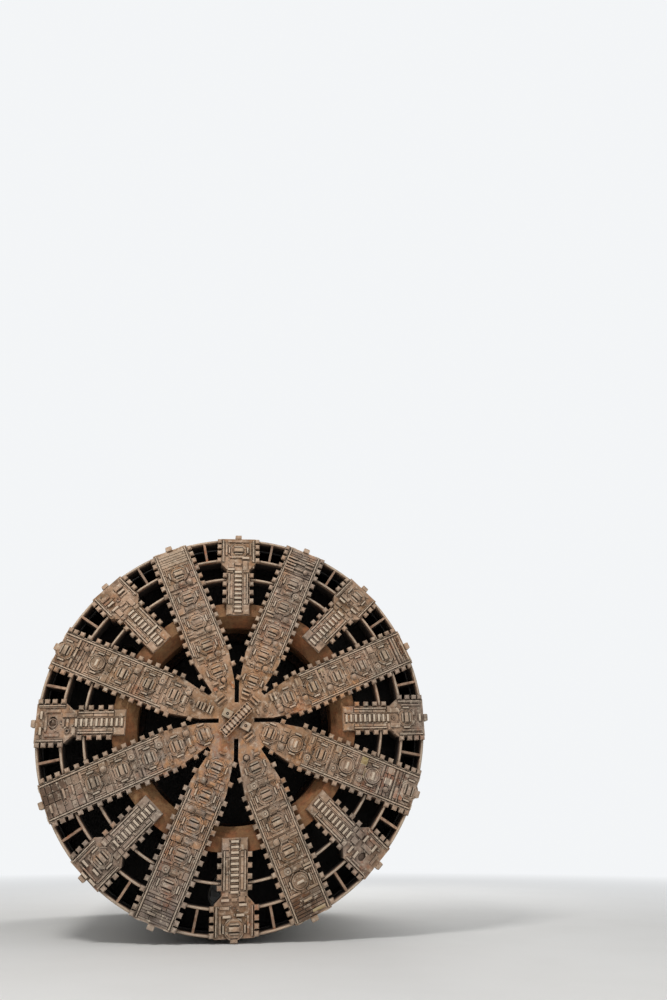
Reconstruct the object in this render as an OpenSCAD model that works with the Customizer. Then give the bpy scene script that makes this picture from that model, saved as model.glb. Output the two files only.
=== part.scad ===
// Earth pressure balance tunnel boring machine: cutterhead, shield and what works inside it.
// Millimetres. X points right, Y back along the machine's axis, Z up.
// The origin is on the machine's axis, in the plane of the cutterhead's face.

/* [Cutterhead] */
// Length of a main spoke from the axis to its outer end
spoke_len = 8550; // [8000:10:9000]
// Half width of a main spoke
spoke_half = 820; // [780:5:860]
// Depth of the spokes, face to back
spoke_depth = 1170; // [1100:10:1300]
// Where a main spoke starts to taper towards the hub
taper_z = 3000; // [2900:10:3100]
// Distance of the hub's flats from the axis
hub_flat = 700; // [680:5:720]
// Half width of the narrow slots between spokes
slot_half = 100; // [80:5:120]
// Radius where a narrow slot ends at the hub
slot_r = 780; // [770:5:800]
// Radius of the notches' floors between spokes
notch_r = 1650; // [1600:10:1700]
// How far the cutterhead is turned at rest, in degrees
rest_turn = -2.02; // [-10:0.01:10]

/* [Sub-spokes] */
// Length of a sub-spoke
sub_len = 3750; // [3700:10:3800]
// Half width of a sub-spoke's stem
stem_half = 540; // [500:5:580]
// Length of a sub-spoke's wide head
head_len = 1240; // [1210:10:1270]
// Length of the flare between stem and head
flare_len = 290; // [200:10:350]

/* [Face fittings] */
// Width of a side tooth along the spoke
tooth_len = 200; // [160:5:220]
// How far a side tooth stands out of the spoke's side
tooth_out = 180; // [120:5:200]
// How far a side tooth stands forward of the face
tooth_proud = 110; // [60:5:160]
// Depth of a side tooth behind the face
tooth_back = 60; // [40:1:65]
// Spacing of the side teeth
tooth_pitch = 410; // [400:1:420]
// Spacing of the cutter housings along a main spoke
housing_pitch = 1230; // [1200:1:1240]
// Width of the long wear bars
wear_w = 70; // [50:5:90]
// How far the long wear bars stand forward
wear_proud = 60; // [40:5:90]
// Spacing of the cross bars on a stem
rung_pitch = 212; // [190:1:230]
// Length of the gauge teeth at the spokes' outer ends
gauge_out = 190; // [150:5:220]
// Depth of the empty recesses in the sub-spokes' heads
recess_depth = 150; // [80:10:180]

/* [Rings] */
// How far the rim lies inside the spokes' outer ends
rim_step = 10; // [5:5:50]
// Distance between the rim's outer edge and the middle of the outer ring
rim_gap = 1020; // [950:5:1080]
// Distance between the middles of the outer and inner rings
ring_gap = 960; // [900:5:1000]
// Thickness of the rings and struts
ring_t = 100; // [80:5:120]
// How far the rings start behind the face
ring_front = 70; // [66:1:90]
// Depth of the inner ring
inner_ring_depth = 800; // [700:10:1000]
// Distance between the support ring's outer edge and the spokes' outer ends
support_gap = 3160; // [3120:5:3200]
// Width of the support ring
support_w = 1030; // [980:5:1080]
// Width of the support ring's flat front
support_flat = 580; // [500:5:650]
// How far the support ring starts behind the face
support_front = 200; // [150:5:250]
// Length of the support drum behind the spokes
drum_len = 730; // [650:10:800]
// Diameter of the drum's legs
leg_d = 820; // [700:10:900]
// Length of the legs
leg_len = 1000; // [900:10:1100]
// Thickness of the rotor ring
rotor_t = 400; // [350:10:450]

/* [Front shield] */
// How far the gauge teeth cut outside the front shield
overcut = 80; // [60:5:100]
// Thickness of the shield's skin
skin_t = 120; // [100:5:140]
// Gap between the rim's back and the shield's cutting edge
edge_gap = 90; // [60:5:300]
// Rear end of the front shield
front_end = 7850; // [7800:10:7900]
// Thickness of the bulkhead
bulkhead_t = 250; // [200:10:300]
// Height of the seal ring in front of the bulkhead
seal_t = 200; // [180:5:240]

/* [Main drive] */
// How far the gear housing's outside lies inside the support ring's
gear_step = 90; // [50:10:190]
// Width of the gear housing between its bore and its outside
gear_w = 2000; // [1900:10:2050]
// Length of the gear housing
gear_len = 1950; // [1800:10:2000]
// Number of places for drive motors
motor_count = 24; // [20:1:26]
// Distance of the motors' axes from the gear housing's outside
motor_in = 950; // [900:10:1050]
// Diameter of a motor's gearbox
motor_d = 850; // [700:10:900]
// Length of a motor with its gearbox
motor_len = 1600; // [1400:10:1650]

/* [Man locks] */
// Diameter of a man lock
lock_d = 1700; // [1600:10:1800]
// Length of a man lock
lock_len = 3300; // [3000:10:3350]
// Distance of a man lock's axis from the shield's inner face
lock_in = 2090; // [2060:5:2120]
// Angle of a man lock from the top, in degrees
lock_angle = 56.5; // [50:0.5:62]
// Wall of a man lock
lock_wall = 60; // [40:5:80]
// Width of a man lock's doorway
door_w = 700; // [600:10:750]
// Height of a man lock's doorway
door_h = 1150; // [1000:10:1200]

/* [Screw conveyor] */
// Outer radius of the screw conveyor's casing
casing_r = 800; // [760:5:820]
// Wall of the casing
casing_wall = 60; // [40:5:80]
// Slope of the screw conveyor, in degrees
screw_slope = 22; // [21:0.5:23]
// Height of the casing's axis over the shield's lowest inner point, at the bulkhead
screw_rise = 1440; // [1400:5:1480]
// Length of the casing behind the bulkhead's front
casing_len = 16000; // [15000:50:16500]
// How far the auger reaches into the chamber
nose_len = 900; // [600:10:1000]
// Radius of the auger's shaft
shaft_r = 200; // [150:5:240]
// Gap between the auger's flight and the casing
flight_gap = 40; // [20:5:80]
// Pitch of the auger's flight
flight_pitch = 1300; // [1000:10:1500]
// Thickness of the casing's end wall
end_wall = 150; // [100:10:180]
// Distance of the outlet's middle from the casing's rear end
outlet_in = 1300; // [1200:50:2000]
// Height of the outlet's neck with its flange
neck_len = 160; // [120:10:200]
// Bore radius of the outlet pipe
outlet_r = 500; // [400:10:550]
// Pitch circle of the outlet flange's bolts
outlet_pcd = 1300; // [1260:10:1340]
// Number of bolts in the outlet flange
outlet_bolts = 16; // [12:4:24]
// Radius of the outlet flange's bolt holes
outlet_hole_r = 17; // [10:1:20]
// Thickness of the gate plate
gate_t = 80; // [60:5:90]

/* [Articulation] */
// Distance of the articulation's axis from the front shield's rear end
pivot_in = 350; // [300:10:400]
// Gap between the front and middle shields' skins
joint_gap = 150; // [140:5:180]
// Gap between the middle shield's collar and the front skin
collar_gap = 50; // [30:5:60]
// Diameter of a steering cylinder's barrel
steer_d = 320; // [260:10:360]
// Number of steering cylinders
steer_count = 16; // [8:2:20]
// Distance of the steering cylinders from the shield's inner face
steer_in = 440; // [390:5:490]
// Distance of the steering cylinders' eyes from the ring girder
eye_gap = 230; // [210:10:260]
// Radius of the steering cylinders' pin holes
steer_eye_r = 40; // [30:1:50]

/* [Middle shield and tail] */
// How much each shield's radius is smaller than the one before it
shield_step = 10; // [5:5:20]
// Length of the middle shield behind the ring girder
middle_rest = 580; // [530:10:680]
// Thickness of the tail skin
tail_t = 90; // [80:5:100]
// Length of the tail skin
tail_len = 5000; // [4800:50:5300]
// Depth of the ring girder inwards from the skin
girder_w = 1380; // [1330:10:1430]
// Distance of the ring girder from the middle shield's front end
girder_gap = 200; // [150:10:250]
// Length of the ring girder
girder_len = 2420; // [2350:10:2500]
// Thickness of the ring girder's plates
girder_t = 120; // [100:5:140]
// Number of rows of tail brushes
brush_rows = 4; // [3:1:4]

/* [Thrust jacks] */
// Distance of the jacks' axes from the tail skin
jack_in = 430; // [400:5:450]
// Diameter of a jack's barrel
barrel_d = 540; // [500:5:560]
// Diameter of a jack's rod
rod_d = 360; // [300:5:380]
// Number of pairs of jacks
jack_pairs = 28; // [20:4:28]
// Half of the angle between the two jacks of a pair, in degrees
pair_half = 2.55; // [2.4:0.05:2.7]
// Stroke of the jacks
jack_stroke = 2300; // [2000:10:2300]
// Thickness of a thrust shoe
shoe_t = 220; // [150:10:250]

/* [Erector] */
// Width of the erector's ring
erector_w = 800; // [750:10:850]
// How far the erector's ring lies inside the ring girder
erector_in = 1150; // [1100:10:1200]
// Distance of the erector's ring behind the ring girder
erector_gap = 1080; // [1030:10:1180]
// Thickness of the erector's ring
erector_t = 400; // [350:10:450]
// Half distance between the erector's guide columns
column_x = 2400; // [2300:10:2500]
// Diameter of a guide column
column_d = 560; // [500:10:600]
// Diameter of the rods in the guide columns
guide_d = 360; // [300:10:400]
// Stroke of the erector's radial slide
reach_stroke = 600; // [500:10:650]
// Number of roller brackets
bracket_count = 8; // [6:2:8]
// Diameter of a roller
roller_d = 360; // [300:10:400]

/* [Decks and towing beams] */
// Height of the upper deck
deck_high = 3600; // [3500:10:3700]
// Height of the middle deck
deck_mid = 300; // [200:10:400]
// Height of the lower deck
deck_low = -3300; // [-3400:10:-3200]
// Thickness of a deck with its beams
deck_t = 260; // [200:10:300]
// Half width of the free space between the decks' wings
deck_gap = 1900; // [1800:10:2000]
// Distance of a towing beam from the middle
beam_x = 2300; // [2200:10:2400]
// Depth of a towing beam
beam_h = 600; // [500:10:700]
// Width of a towing beam
beam_w = 320; // [280:10:360]
// How far the towing beams reach out of the tail
beam_out = 1000; // [600:50:1200]
// Radius of the towing eyes' bores
eye_r = 80; // [60:1:90]

/* [Hidden] */
$fn = 96;
// Clearance between pieces that seat on each other but can move
seat = 0.3;
// How far a welded fitting bites into what carries it
bite = 10;
steel = [0.62, 0.55, 0.47];
rusty = [0.55, 0.40, 0.28];
machine_white = [0.80, 0.80, 0.77];
dark_steel = [0.35, 0.34, 0.33];
half_sector = 22.5;
// Steps in one turn of the auger's flight
flight_steps = 20;

// Places marked "in" are measured inwards from the spokes' outer ends.
// Main spokes: angle, side of its narrow slot, innermost tooth of the row (in), teeth near the hub,
// outermost housing of the row (in), where the row stops, housing near the rim (in), missing cutter
main_spokes = [
    [22.5, -1, 5180, [2580, 1760], 1750, 1500, 0, -1],
    [67.5, 1, 5380, [2780, 2180], 1100, 1500, 0, -1],
    [112.5, -1, 5580, [1950], 2050, 1500, 320, -1],
    [157.5, 1, 5380, [2400], 1450, 1500, 0, -1],
    [202.5, -1, 5180, [2580, 1760], 1500, 1500, 0, -1],
    [247.5, 1, 5380, [2780, 2180], 2100, 1500, 0, -1],
    [292.5, -1, 5580, [1950], 1850, 2900, 320, -1],
    [337.5, 1, 5380, [2400], 1250, 1500, 0, 2]
];
// Outer teeth of a main spoke (in), which stand closer together: with the slot at the right, at the left
outer_teeth = [[880, 540, 220], [690, 380, 130]];
// Where the even row of side teeth stops (in)
even_teeth_end = 950;
// Inner end of the wear bars on the main spokes
wear_start = 3350;
// Head teeth of the sub-spokes (in): on the upright and level ones, on the slanted ones
head_teeth = [[1100, 730, 420, 150], [860, 530, 250]];
// Sub-spokes: angle, innermost stem tooth (in), kind of head teeth, housing (in), bars as [x, in],
// empty recesses as [x, in, width, height]
sub_spokes_table = [
    [0, 3100, 0, 600, [[350, 990], [-340, 1560]], []],
    [45, 2910, 1, 520, [[-370, 1150], [370, 1150]], []],
    [90, 3100, 0, 830, [[0, 200]], []],
    [135, 2910, 1, 0, [[380, 950], [380, 1250], [-330, 520], [-380, 1040]], [[250, 690, 380, 260]]],
    [180, 3100, 0, 350, [[-250, 850], [300, 800], [-350, 1220], [380, 1400]], []],
    [225, 2910, 1, 950, [[-400, 100], [30, 60], [-220, 440], [330, 370]], []],
    [270, 3100, 0, 0, [[-330, 230], [330, 230]], [[0, 720, 560, 300]]],
    [315, 2910, 1, 0, [[-380, 750], [-380, 1050], [340, 620], [270, 2950]], []]
];

stem_start = spoke_len - sub_len;
head_z = spoke_len - head_len;
flare_z = head_z - flare_len;
rim_r = spoke_len - rim_step;
outer_ring_r = rim_r - rim_gap;
inner_ring_r = outer_ring_r - ring_gap;
support_r = spoke_len - support_gap;
support_in_r = support_r - support_w;
mixing_r = [support_in_r - 1260, support_r + 910];
fixed_r = [mixing_r[1] + 600, mixing_r[0] - 800];
shield_r = spoke_len + gauge_out - overcut;
skin_in_r = shield_r - skin_t;
middle_r = shield_r - shield_step;
middle_in_r = middle_r - skin_t;
collar_r = skin_in_r - collar_gap;
tail_r = middle_r - shield_step;
tail_in_r = tail_r - tail_t;
girder_in_r = middle_in_r - girder_w;
steer_r = skin_in_r - steer_in;
jack_r = tail_in_r - jack_in;
gear_r = support_r - gear_step;
gear_in_r = gear_r - gear_w;
motor_ring_r = gear_r - motor_in;
lock_r = skin_in_r - lock_in;
screw_z = screw_rise - skin_in_r;
erector_r = girder_in_r - erector_in;
erector_in_r = erector_r - erector_w;

front_start = spoke_depth + edge_gap;
rotor_y = spoke_depth + drum_len + leg_len;
bulkhead_y = rotor_y + rotor_t + seat + seal_t;
gear_y = bulkhead_y + bulkhead_t;
pivot_y = front_end - pivot_in;
frame_back = front_end - 1170;
middle_start = front_end + joint_gap;
girder_y = middle_start + girder_gap;
eye_y = girder_y - eye_gap;
girder_back = girder_y + girder_len;
middle_end = girder_back + middle_rest;
tail_end = middle_end + tail_len;
beam_end = tail_end + beam_out;
shoe_y = girder_back + 330;
erector_y = girder_back + erector_gap;
outlet_at = casing_len - outlet_in;
gate_top = casing_r + 350;
gate_roof = gate_top + gate_t + 10;
neck_end = gate_roof + 60 + neck_len;
pair_step = 360 / jack_pairs;
group_pairs = jack_pairs / 4;

// Turns a piece clockwise as seen from the front, by an angle from the top
module at_angle(a) rotate([0, a, 0]) children();

// Turns a piece with the cutterhead as it stands at rest
module on_cutterhead() at_angle(rest_turn) children();

// A flat shape drawn in X and Z, as a plate from y0 back to y1
module plate(y0, y1) translate([0, y1, 0]) rotate([90, 0, 0]) linear_extrude(y1 - y0) children();

// A ring about the machine's axis, from y0 to y1
module ring(r_in, r_out, y0, y1)
    difference() {
        translate([0, y1, 0]) rotate([90, 0, 0]) cylinder(h = y1 - y0, r = r_out);
        translate([0, y1 + 1, 0]) rotate([90, 0, 0]) cylinder(h = y1 - y0 + 2, r = r_in);
    }

// A revolved section about the machine's axis, drawn as [radius, y]
module revolved(points) rotate([-90, 0, 0]) mirror([0, 1, 0]) rotate_extrude() polygon(points);

// A rod along the machine's axis at x and z
module rod_y(x, z, y0, y1, r) translate([x, y1, z]) rotate([90, 0, 0]) cylinder(h = y1 - y0, r = r);

// A bar on the face, centred at x and z
module face_bar(x, z, w, h, proud)
    translate([x - w / 2, -proud, z - h / 2]) cube([w, proud + bite, h]);

function chamfered(w, h, c) = [
    [-w / 2, -h / 2 + c], [-w / 2, h / 2 - c], [-w / 2 + c, h / 2], [w / 2 - c, h / 2],
    [w / 2, h / 2 - c], [w / 2, -h / 2 + c], [w / 2 - c, -h / 2], [-w / 2 + c, -h / 2]
];

// A cutter housing: its collar, the cutter between two lips, and a bar at each side
module cutter_housing(z, has_cutter = true) {
    translate([0, 0, z]) {
        plate(-60, bite)
            difference() {
                polygon(chamfered(740, 640, 190));
                polygon(chamfered(560, 460, 150));
            }
        if (has_cutter) face_bar(0, 0, 380, 170, 160);
        for (side = [-1, 1]) {
            face_bar(0, side * 165, 360, 55, 100);
            face_bar(side * 435, 0, 60, 290, 110);
        }
    }
}

// A round bit on the face
module round_bit(x, z) rod_y(x, z, -170, bite, 115);

function sector_point(r) = [r * sin(half_sector), r * cos(half_sector)];
function slot_point(r) = sector_point(r) + slot_half * [-cos(half_sector), sin(half_sector)];
function spoke_edge(has_slot) = concat(
    [[spoke_half, spoke_len], [spoke_half, taper_z], slot_point(notch_r)],
    has_slot ? [slot_point(slot_r), sector_point(slot_r)] : [sector_point(notch_r)],
    [[hub_flat * tan(half_sector), hub_flat + seat]]
);
function mirrored(points) = [for (i = [len(points) - 1:-1:0]) [-points[i][0], points[i][1]]];
function edge_x(z) = z >= taper_z ? spoke_half : let (low = slot_point(notch_r))
    low[0] + (spoke_half - low[0]) * (z - low[1]) / (taper_z - low[1]);

// A square tooth on the side of a spoke, at the edge's place x
module side_tooth(side, x, z)
    translate([side > 0 ? x - bite : -x - tooth_out, -tooth_proud, z - tooth_len / 2])
        cube([tooth_out + bite, tooth_proud + tooth_back, tooth_len]);

function tooth_row(row) = concat(
    [for (z = [spoke_len - row[2]:tooth_pitch:spoke_len - even_teeth_end]) z],
    [for (inwards = outer_teeth[row[1] > 0 ? 0 : 1]) spoke_len - inwards], row[3]
);

// A long bar on the face between two heights
module long_bar(x, z0, z1, w, proud) face_bar(x, (z0 + z1) / 2, w, z1 - z0, proud);

module main_spoke(row) {
    slot_side = row[1];
    has_right_slot = slot_side > 0;
    color(steel) on_cutterhead() at_angle(row[0]) {
        plate(0, spoke_depth)
            polygon(concat(spoke_edge(has_right_slot), mirrored(spoke_edge(!has_right_slot))));
        for (side = [-1, 1]) {
            for (z = tooth_row(row)) side_tooth(side, edge_x(z), z);
            long_bar(side * (spoke_half - 115), wear_start, spoke_len - 50, wear_w, wear_proud);
            long_bar(side * (spoke_half - 30), wear_start, spoke_len - 50, 50, wear_proud / 2);
        }
        first_housing = spoke_len - row[4];
        for (i = [0:floor((first_housing - row[5]) / housing_pitch)]) {
            z = first_housing - i * housing_pitch;
            cutter_housing(z, i != row[7]);
            if (z > 2500) {
                round_bit(340, z - 540);
                face_bar(-80, z - 540, 400, 150, 90);
            }
        }
        if (row[6] > 0) cutter_housing(spoke_len - row[6]);
        face_bar(0, spoke_len + gauge_out / 2 - bite, 270, gauge_out + 2 * bite, 60);
        plate(0, 400) translate([-135, spoke_len - bite]) square([270, gauge_out + bite]);
    }
}

module hub_outline() circle(r = hub_flat / cos(half_sector), $fn = 8);

// The hub with its centre cutter, its two square blocks and the column behind it
module hub() {
    color(steel) on_cutterhead() {
        plate(0, spoke_depth) hub_outline();
        difference() {
            union() {
                at_angle(45) {
                    face_bar(0, 0, 400, 1600, 330);
                    for (i = [-4:4]) face_bar(0, i * 175, 220, 110, 400);
                }
                at_angle(-63) for (side = [-1, 1]) face_bar(side * 60, side * 480, 330, 420, 240);
            }
            plate(-seat, bite + 1) difference() {
                circle(r = 2 * hub_flat);
                hub_outline();
            }
        }
        rod_y(0, 0, spoke_depth - bite, bulkhead_y - seal_t, 650);
    }
}

function stem_outline() = [
    [stem_half, stem_start], [stem_half, flare_z], [spoke_half, head_z], [spoke_half, spoke_len]
];

module sub_spoke(row) {
    outline = stem_outline();
    rung_start = stem_start + 150;
    at_angle(row[0]) {
        difference() {
            plate(0, support_front) polygon(concat(outline, mirrored(outline)));
            for (r = row[5])
                plate(-1, recess_depth) translate([r[0], spoke_len - r[1]])
                    polygon(chamfered(r[2], r[3], r[3] / 3));
        }
        difference() {
            plate(support_front - bite, spoke_depth) polygon(concat(outline, mirrored(outline)));
            rod_y(0, 0, support_front, spoke_depth + 1, support_r + seat);
        }
        for (side = [-1, 1]) {
            for (i = [0:3]) side_tooth(side, stem_half, spoke_len - row[1] + i * (tooth_pitch + 5));
            for (inwards = head_teeth[row[2]]) side_tooth(side, spoke_half, spoke_len - inwards);
            long_bar(side * (stem_half - 110), rung_start + 350, flare_z - 220, wear_w, wear_proud);
            long_bar(side * (spoke_half - 90), head_z + 60, spoke_len - 80, wear_w, wear_proud);
            long_bar(side * 215, rung_start, flare_z - 170, 35, 30);
        }
        for (z = [rung_start:rung_pitch:flare_z - 120]) face_bar(0, z, 340, 110, 90);
        if (row[3] > 0) cutter_housing(spoke_len - row[3]);
        for (bar = row[4]) face_bar(bar[0], spoke_len - bar[1], 340, 110, 100);
        plate(0, 400) translate([-135, spoke_len - bite]) square([270, gauge_out + bite]);
    }
}

module sub_spokes() {
    color(steel) on_cutterhead() for (row = sub_spokes_table) sub_spoke(row);
}

// A ring cut into the arcs that fill the gaps between main spokes and sub-spokes
module ring_arcs(r, y0, y1, sub_half) {
    r_in = r - ring_t;
    from_main = asin(spoke_half / r_in);
    from_sub = asin(sub_half / r_in);
    sweep = half_sector - from_main - from_sub;
    color(rusty) on_cutterhead() for (i = [0:7], side = [0, 1])
        at_angle(45 * i + (side == 0 ? from_sub : -from_sub - sweep)) translate([0, y1, 0])
            rotate([90, sweep - 90, 0]) rotate_extrude(angle = sweep)
                translate([r_in, 0]) square([ring_t, y1 - y0]);
}

module rim() ring_arcs(rim_r, ring_front, spoke_depth, spoke_half);

module outer_ring() ring_arcs(outer_ring_r + ring_t / 2, ring_front, spoke_depth, spoke_half);

module inner_ring()
    ring_arcs(inner_ring_r + ring_t / 2, ring_front, ring_front + inner_ring_depth, stem_half);

// Struts across the gap between the outer ring and the rim
module rim_struts() {
    low = outer_ring_r + ring_t / 2 + seat;
    high = sqrt(pow(rim_r - ring_t, 2) - pow(ring_t / 2, 2)) - seat;
    color(rusty) on_cutterhead() for (i = [0:15]) at_angle(half_sector / 2 + half_sector * i)
        translate([-ring_t / 2, ring_front, low]) cube([ring_t, spoke_depth - ring_front, high - low]);
}

module support_webs() {
    color(rusty) difference() {
        revolved([
            [support_r, support_front + seat], [support_r - support_flat, support_front + seat],
            [support_in_r, 4 * support_front], [support_in_r, spoke_depth], [support_r, spoke_depth]
        ]);
        on_cutterhead() for (i = [0:7]) at_angle(half_sector + 45 * i)
            translate([-spoke_half, -1, 0]) cube([2 * spoke_half, spoke_depth + 2, spoke_len]);
    }
}

module support_drum() {
    color(rusty) ring(support_in_r, support_r, spoke_depth + seat, spoke_depth + drum_len);
}

module drum_legs() {
    color(rusty) on_cutterhead() for (i = [0:7]) at_angle(half_sector + 45 * i)
        rod_y(0, support_r - support_w / 2, spoke_depth + drum_len, rotor_y - seat, leg_d / 2);
}

module rotor() {
    color(rusty) ring(support_in_r - 160, support_r + 110, rotor_y, rotor_y + rotor_t);
}

// Bars on the backs of the spokes that stir the soil in the chamber
module mixing_bars() {
    color(rusty) on_cutterhead() for (i = [0:7]) at_angle(half_sector + 45 * i)
        rod_y(0, mixing_r[i % 2], spoke_depth, spoke_depth + 850, 120);
}

module front_skin() {
    color(machine_white) {
        ring(skin_in_r, shield_r, front_start, front_end);
        ring(skin_in_r - 140, shield_r - 10, front_start, front_start + 350);
        for (side = [-1, 1]) translate([0, pivot_y, side > 0 ? collar_r + 10 + seat : -skin_in_r - 20])
            cylinder(h = skin_in_r - collar_r + 10 - seat, r = 200);
    }
}

// Moves to the screw conveyor's axis, which then runs along the local Z
module on_screw() translate([0, bulkhead_y, screw_z]) rotate([screw_slope - 90, 0, 0]) children();

// Moves to a man lock's axis, where it meets the bulkhead's back
module at_lock(side)
    translate([side * lock_r * sin(lock_angle), gear_y, lock_r * cos(lock_angle)]) children();

module bulkhead() {
    color(machine_white) difference() {
        union() {
            ring(950, skin_in_r, bulkhead_y, gear_y);
            ring(support_in_r - 110, support_r + 60, bulkhead_y - seal_t, bulkhead_y + bite);
        }
        on_screw() translate([0, 0, -1500]) cylinder(h = 3500, r = casing_r + seat);
        for (side = [-1, 1]) at_lock(side) rod_y(0, 0, -bulkhead_t - 1, 1, 450);
    }
}

module fixed_bars() {
    color(dark_steel) for (i = [0:5]) at_angle(15 + 60 * i)
        rod_y(0, fixed_r[i % 2], bulkhead_y - 1000, bulkhead_y - seat, 110);
}

module front_frames() {
    color(machine_white) {
        for (y = [frame_back - 1400, frame_back]) ring(skin_in_r - 790, skin_in_r, y - 80, y);
    }
}

module gear_housing() {
    color(machine_white) {
        ring(gear_in_r, gear_r, gear_y, gear_y + gear_len - 500);
        ring(gear_in_r + 250, gear_r - 150, gear_y + gear_len - 500 - bite, gear_y + gear_len);
    }
}

module drive_motors() {
    start = gear_y + gear_len + seat;
    color(dark_steel) for (i = [0:motor_count - 1]) if (i != motor_count / 2)
        at_angle(360 / motor_count * i) {
            rod_y(0, motor_ring_r, start, start + motor_len * 0.45, motor_d / 2);
            rod_y(0, motor_ring_r, start + motor_len * 0.45 - bite, start + motor_len, motor_d * 0.38);
        }
}

module rotary_joint() {
    color(dark_steel) {
        rod_y(0, 0, bulkhead_y - seal_t + seat, gear_y + bite, 900);
        rod_y(0, 0, gear_y, gear_y + 300, 1250);
        rod_y(0, 0, gear_y + 300 - bite, gear_y + 1700, 750);
        rod_y(0, 0, gear_y + 1700 - bite, gear_y + 2600, 450);
    }
}

module man_lock(side) {
    color(machine_white) at_lock(side) difference() {
        rod_y(0, 0, 0, lock_len, lock_d / 2);
        rod_y(0, 0, lock_wall, lock_len - lock_wall, lock_d / 2 - lock_wall);
        rod_y(0, 0, -1, lock_wall + 1, 450);
        translate([-door_w / 2, lock_len - lock_wall - 1, -door_h / 2]) cube([door_w, lock_wall + 2, door_h]);
    }
}

// The door closes on the back of the lock and hinges on its outer side
module lock_door(side) {
    color(dark_steel) at_lock(side) {
        translate([-door_w / 2 - 60, lock_len + seat, -door_h / 2 - 60])
            cube([door_w + 120, 70, door_h + 120]);
        for (z = [-350, 350]) translate([side * (door_w / 2 + 60), lock_len + 35, z - 80])
            cylinder(h = 160, r = 34);
    }
}

// A round about the outlet's axis, or at a distance from it, between two local heights
module rod_down(angle, y0, y1, r, x = 0)
    translate([0, y0, outlet_at]) rotate([0, angle, 0]) translate([x, 0, 0])
        rotate([-90, 0, 0]) cylinder(h = y1 - y0, r = r);

module screw_casing() {
    color(machine_white) on_screw() difference() {
        translate([0, 0, -150]) cylinder(h = casing_len + 150, r = casing_r);
        translate([0, 0, -151]) cylinder(h = casing_len + 151 - end_wall, r = casing_r - casing_wall);
        rod_down(0, 100, casing_r + 1, outlet_r);
    }
}

module casing_flanges() {
    flange_t = 120;
    starts = concat([for (z = [3000:3200:outlet_at - 2050]) z], [casing_len - flange_t]);
    color(machine_white) on_screw() for (z = starts) translate([0, 0, z]) difference() {
        cylinder(h = flange_t, r = casing_r + 90);
        translate([0, 0, -1]) cylinder(h = flange_t + 2, r = casing_r + seat);
    }
}

// The box below the casing that guides the gate, with the outlet's neck and flange
module outlet_box() {
    half = 650;
    saddle_y = casing_r - 300;
    color(machine_white) on_screw() difference() {
        union() {
            translate([-half, saddle_y, outlet_at - half]) cube([2 * half, gate_top - saddle_y, 2 * half]);
            for (side = [-1, 1])
                translate([side > 0 ? half - bite : -half - 100, gate_top - 300, outlet_at - 3 * half])
                    cube([100 + bite, gate_roof + 330 - gate_top, 4 * half]);
            translate([-half - bite, gate_roof, outlet_at - half]) cube([2 * (half + bite), 60, 2 * half]);
            rod_down(0, gate_roof + 50, neck_end, outlet_r + 60);
            rod_down(0, neck_end - 60, neck_end, outlet_pcd / 2 + 90);
        }
        translate([0, 0, outlet_at - half - 1]) cylinder(h = 2 * half + 2, r = casing_r + seat);
        rod_down(0, 100, neck_end + 1, outlet_r);
        for (i = [0:outlet_bolts - 1])
            rod_down(
                360 / outlet_bolts * (i + 0.5), neck_end - 61, neck_end + 1, outlet_hole_r, outlet_pcd / 2
            );
    }
}

// The auger's flight, swept as one closed strip about its shaft
module flight(r0, r1, t, z0, z1) {
    turn = 360 / flight_steps;
    steps = floor((z1 - z0) / flight_pitch * flight_steps);
    points = [for (i = [0:steps]) let (a = i * turn, z = z0 + i * flight_pitch / flight_steps)
        each [[r0 * cos(a), r0 * sin(a), z], [r1 * cos(a), r1 * sin(a), z],
              [r1 * cos(a), r1 * sin(a), z + t], [r0 * cos(a), r0 * sin(a), z + t]]];
    sides = [for (i = [0:steps - 1], k = [0:3]) let (n = (k + 1) % 4)
        each [[4 * i + k, 4 * i + n, 4 * i + 4 + n], [4 * i + k, 4 * i + 4 + n, 4 * i + 4 + k]]];
    last = 4 * steps;
    polyhedron(points, concat(
        [[2, 1, 0], [3, 2, 0]], sides, [[last, last + 1, last + 2], [last, last + 2, last + 3]]
    ));
}

module screw_auger() {
    color(dark_steel) on_screw() {
        translate([0, 0, -nose_len]) cylinder(h = nose_len + casing_len - end_wall - seat, r = shaft_r);
        flight(shaft_r / cos(180 / flight_steps) + seat, casing_r - casing_wall - flight_gap, 50,
            50 - nose_len, outlet_at + 700);
    }
}

module outlet_gate() {
    color(dark_steel) on_screw()
        translate([-640, gate_top + seat, outlet_at - 600]) cube([1280, gate_t, 1200]);
}

module screw_drive() {
    color(dark_steel) on_screw() {
        translate([0, 0, casing_len]) cylinder(h = 450, r = 760);
        for (i = [0:3]) rotate([0, 0, 45 + 90 * i]) translate([430, 0, casing_len + 450 - bite])
            cylinder(h = 700, r = 210);
    }
}

// Each steering cylinder stands on the rear frame and ends in an eye, with its pin left out
module steer_cylinders() {
    color(dark_steel) for (i = [0:steer_count - 1]) at_angle(360 / steer_count * (i + 0.5)) {
        rod_y(0, steer_r, frame_back + seat, eye_y - 420, steer_d / 2);
        rod_y(0, steer_r, eye_y - 420 - bite, eye_y - 100, 85);
        translate([-60, eye_y - 100 - bite, steer_r - 45]) cube([120, 60, 90]);
        translate([0, eye_y, steer_r - 45]) difference() {
            cylinder(h = 90, r = 85);
            translate([0, 0, -1]) cylinder(h = 92, r = steer_eye_r);
        }
    }
}

// The clevises on the ring girder that take the steering cylinders' eyes
module steer_clevises() {
    color(machine_white) for (i = [0:steer_count - 1], side = [-1, 1]) at_angle(360 / steer_count * (i + 0.5))
        translate([0, 0, steer_r + side * 120 - 20]) difference() {
            translate([-100, eye_y - 90, 0]) cube([200, eye_gap + 90 - seat, 40]);
            translate([0, eye_y, -1]) cylinder(h = 42, r = steer_eye_r);
        }
}

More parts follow.
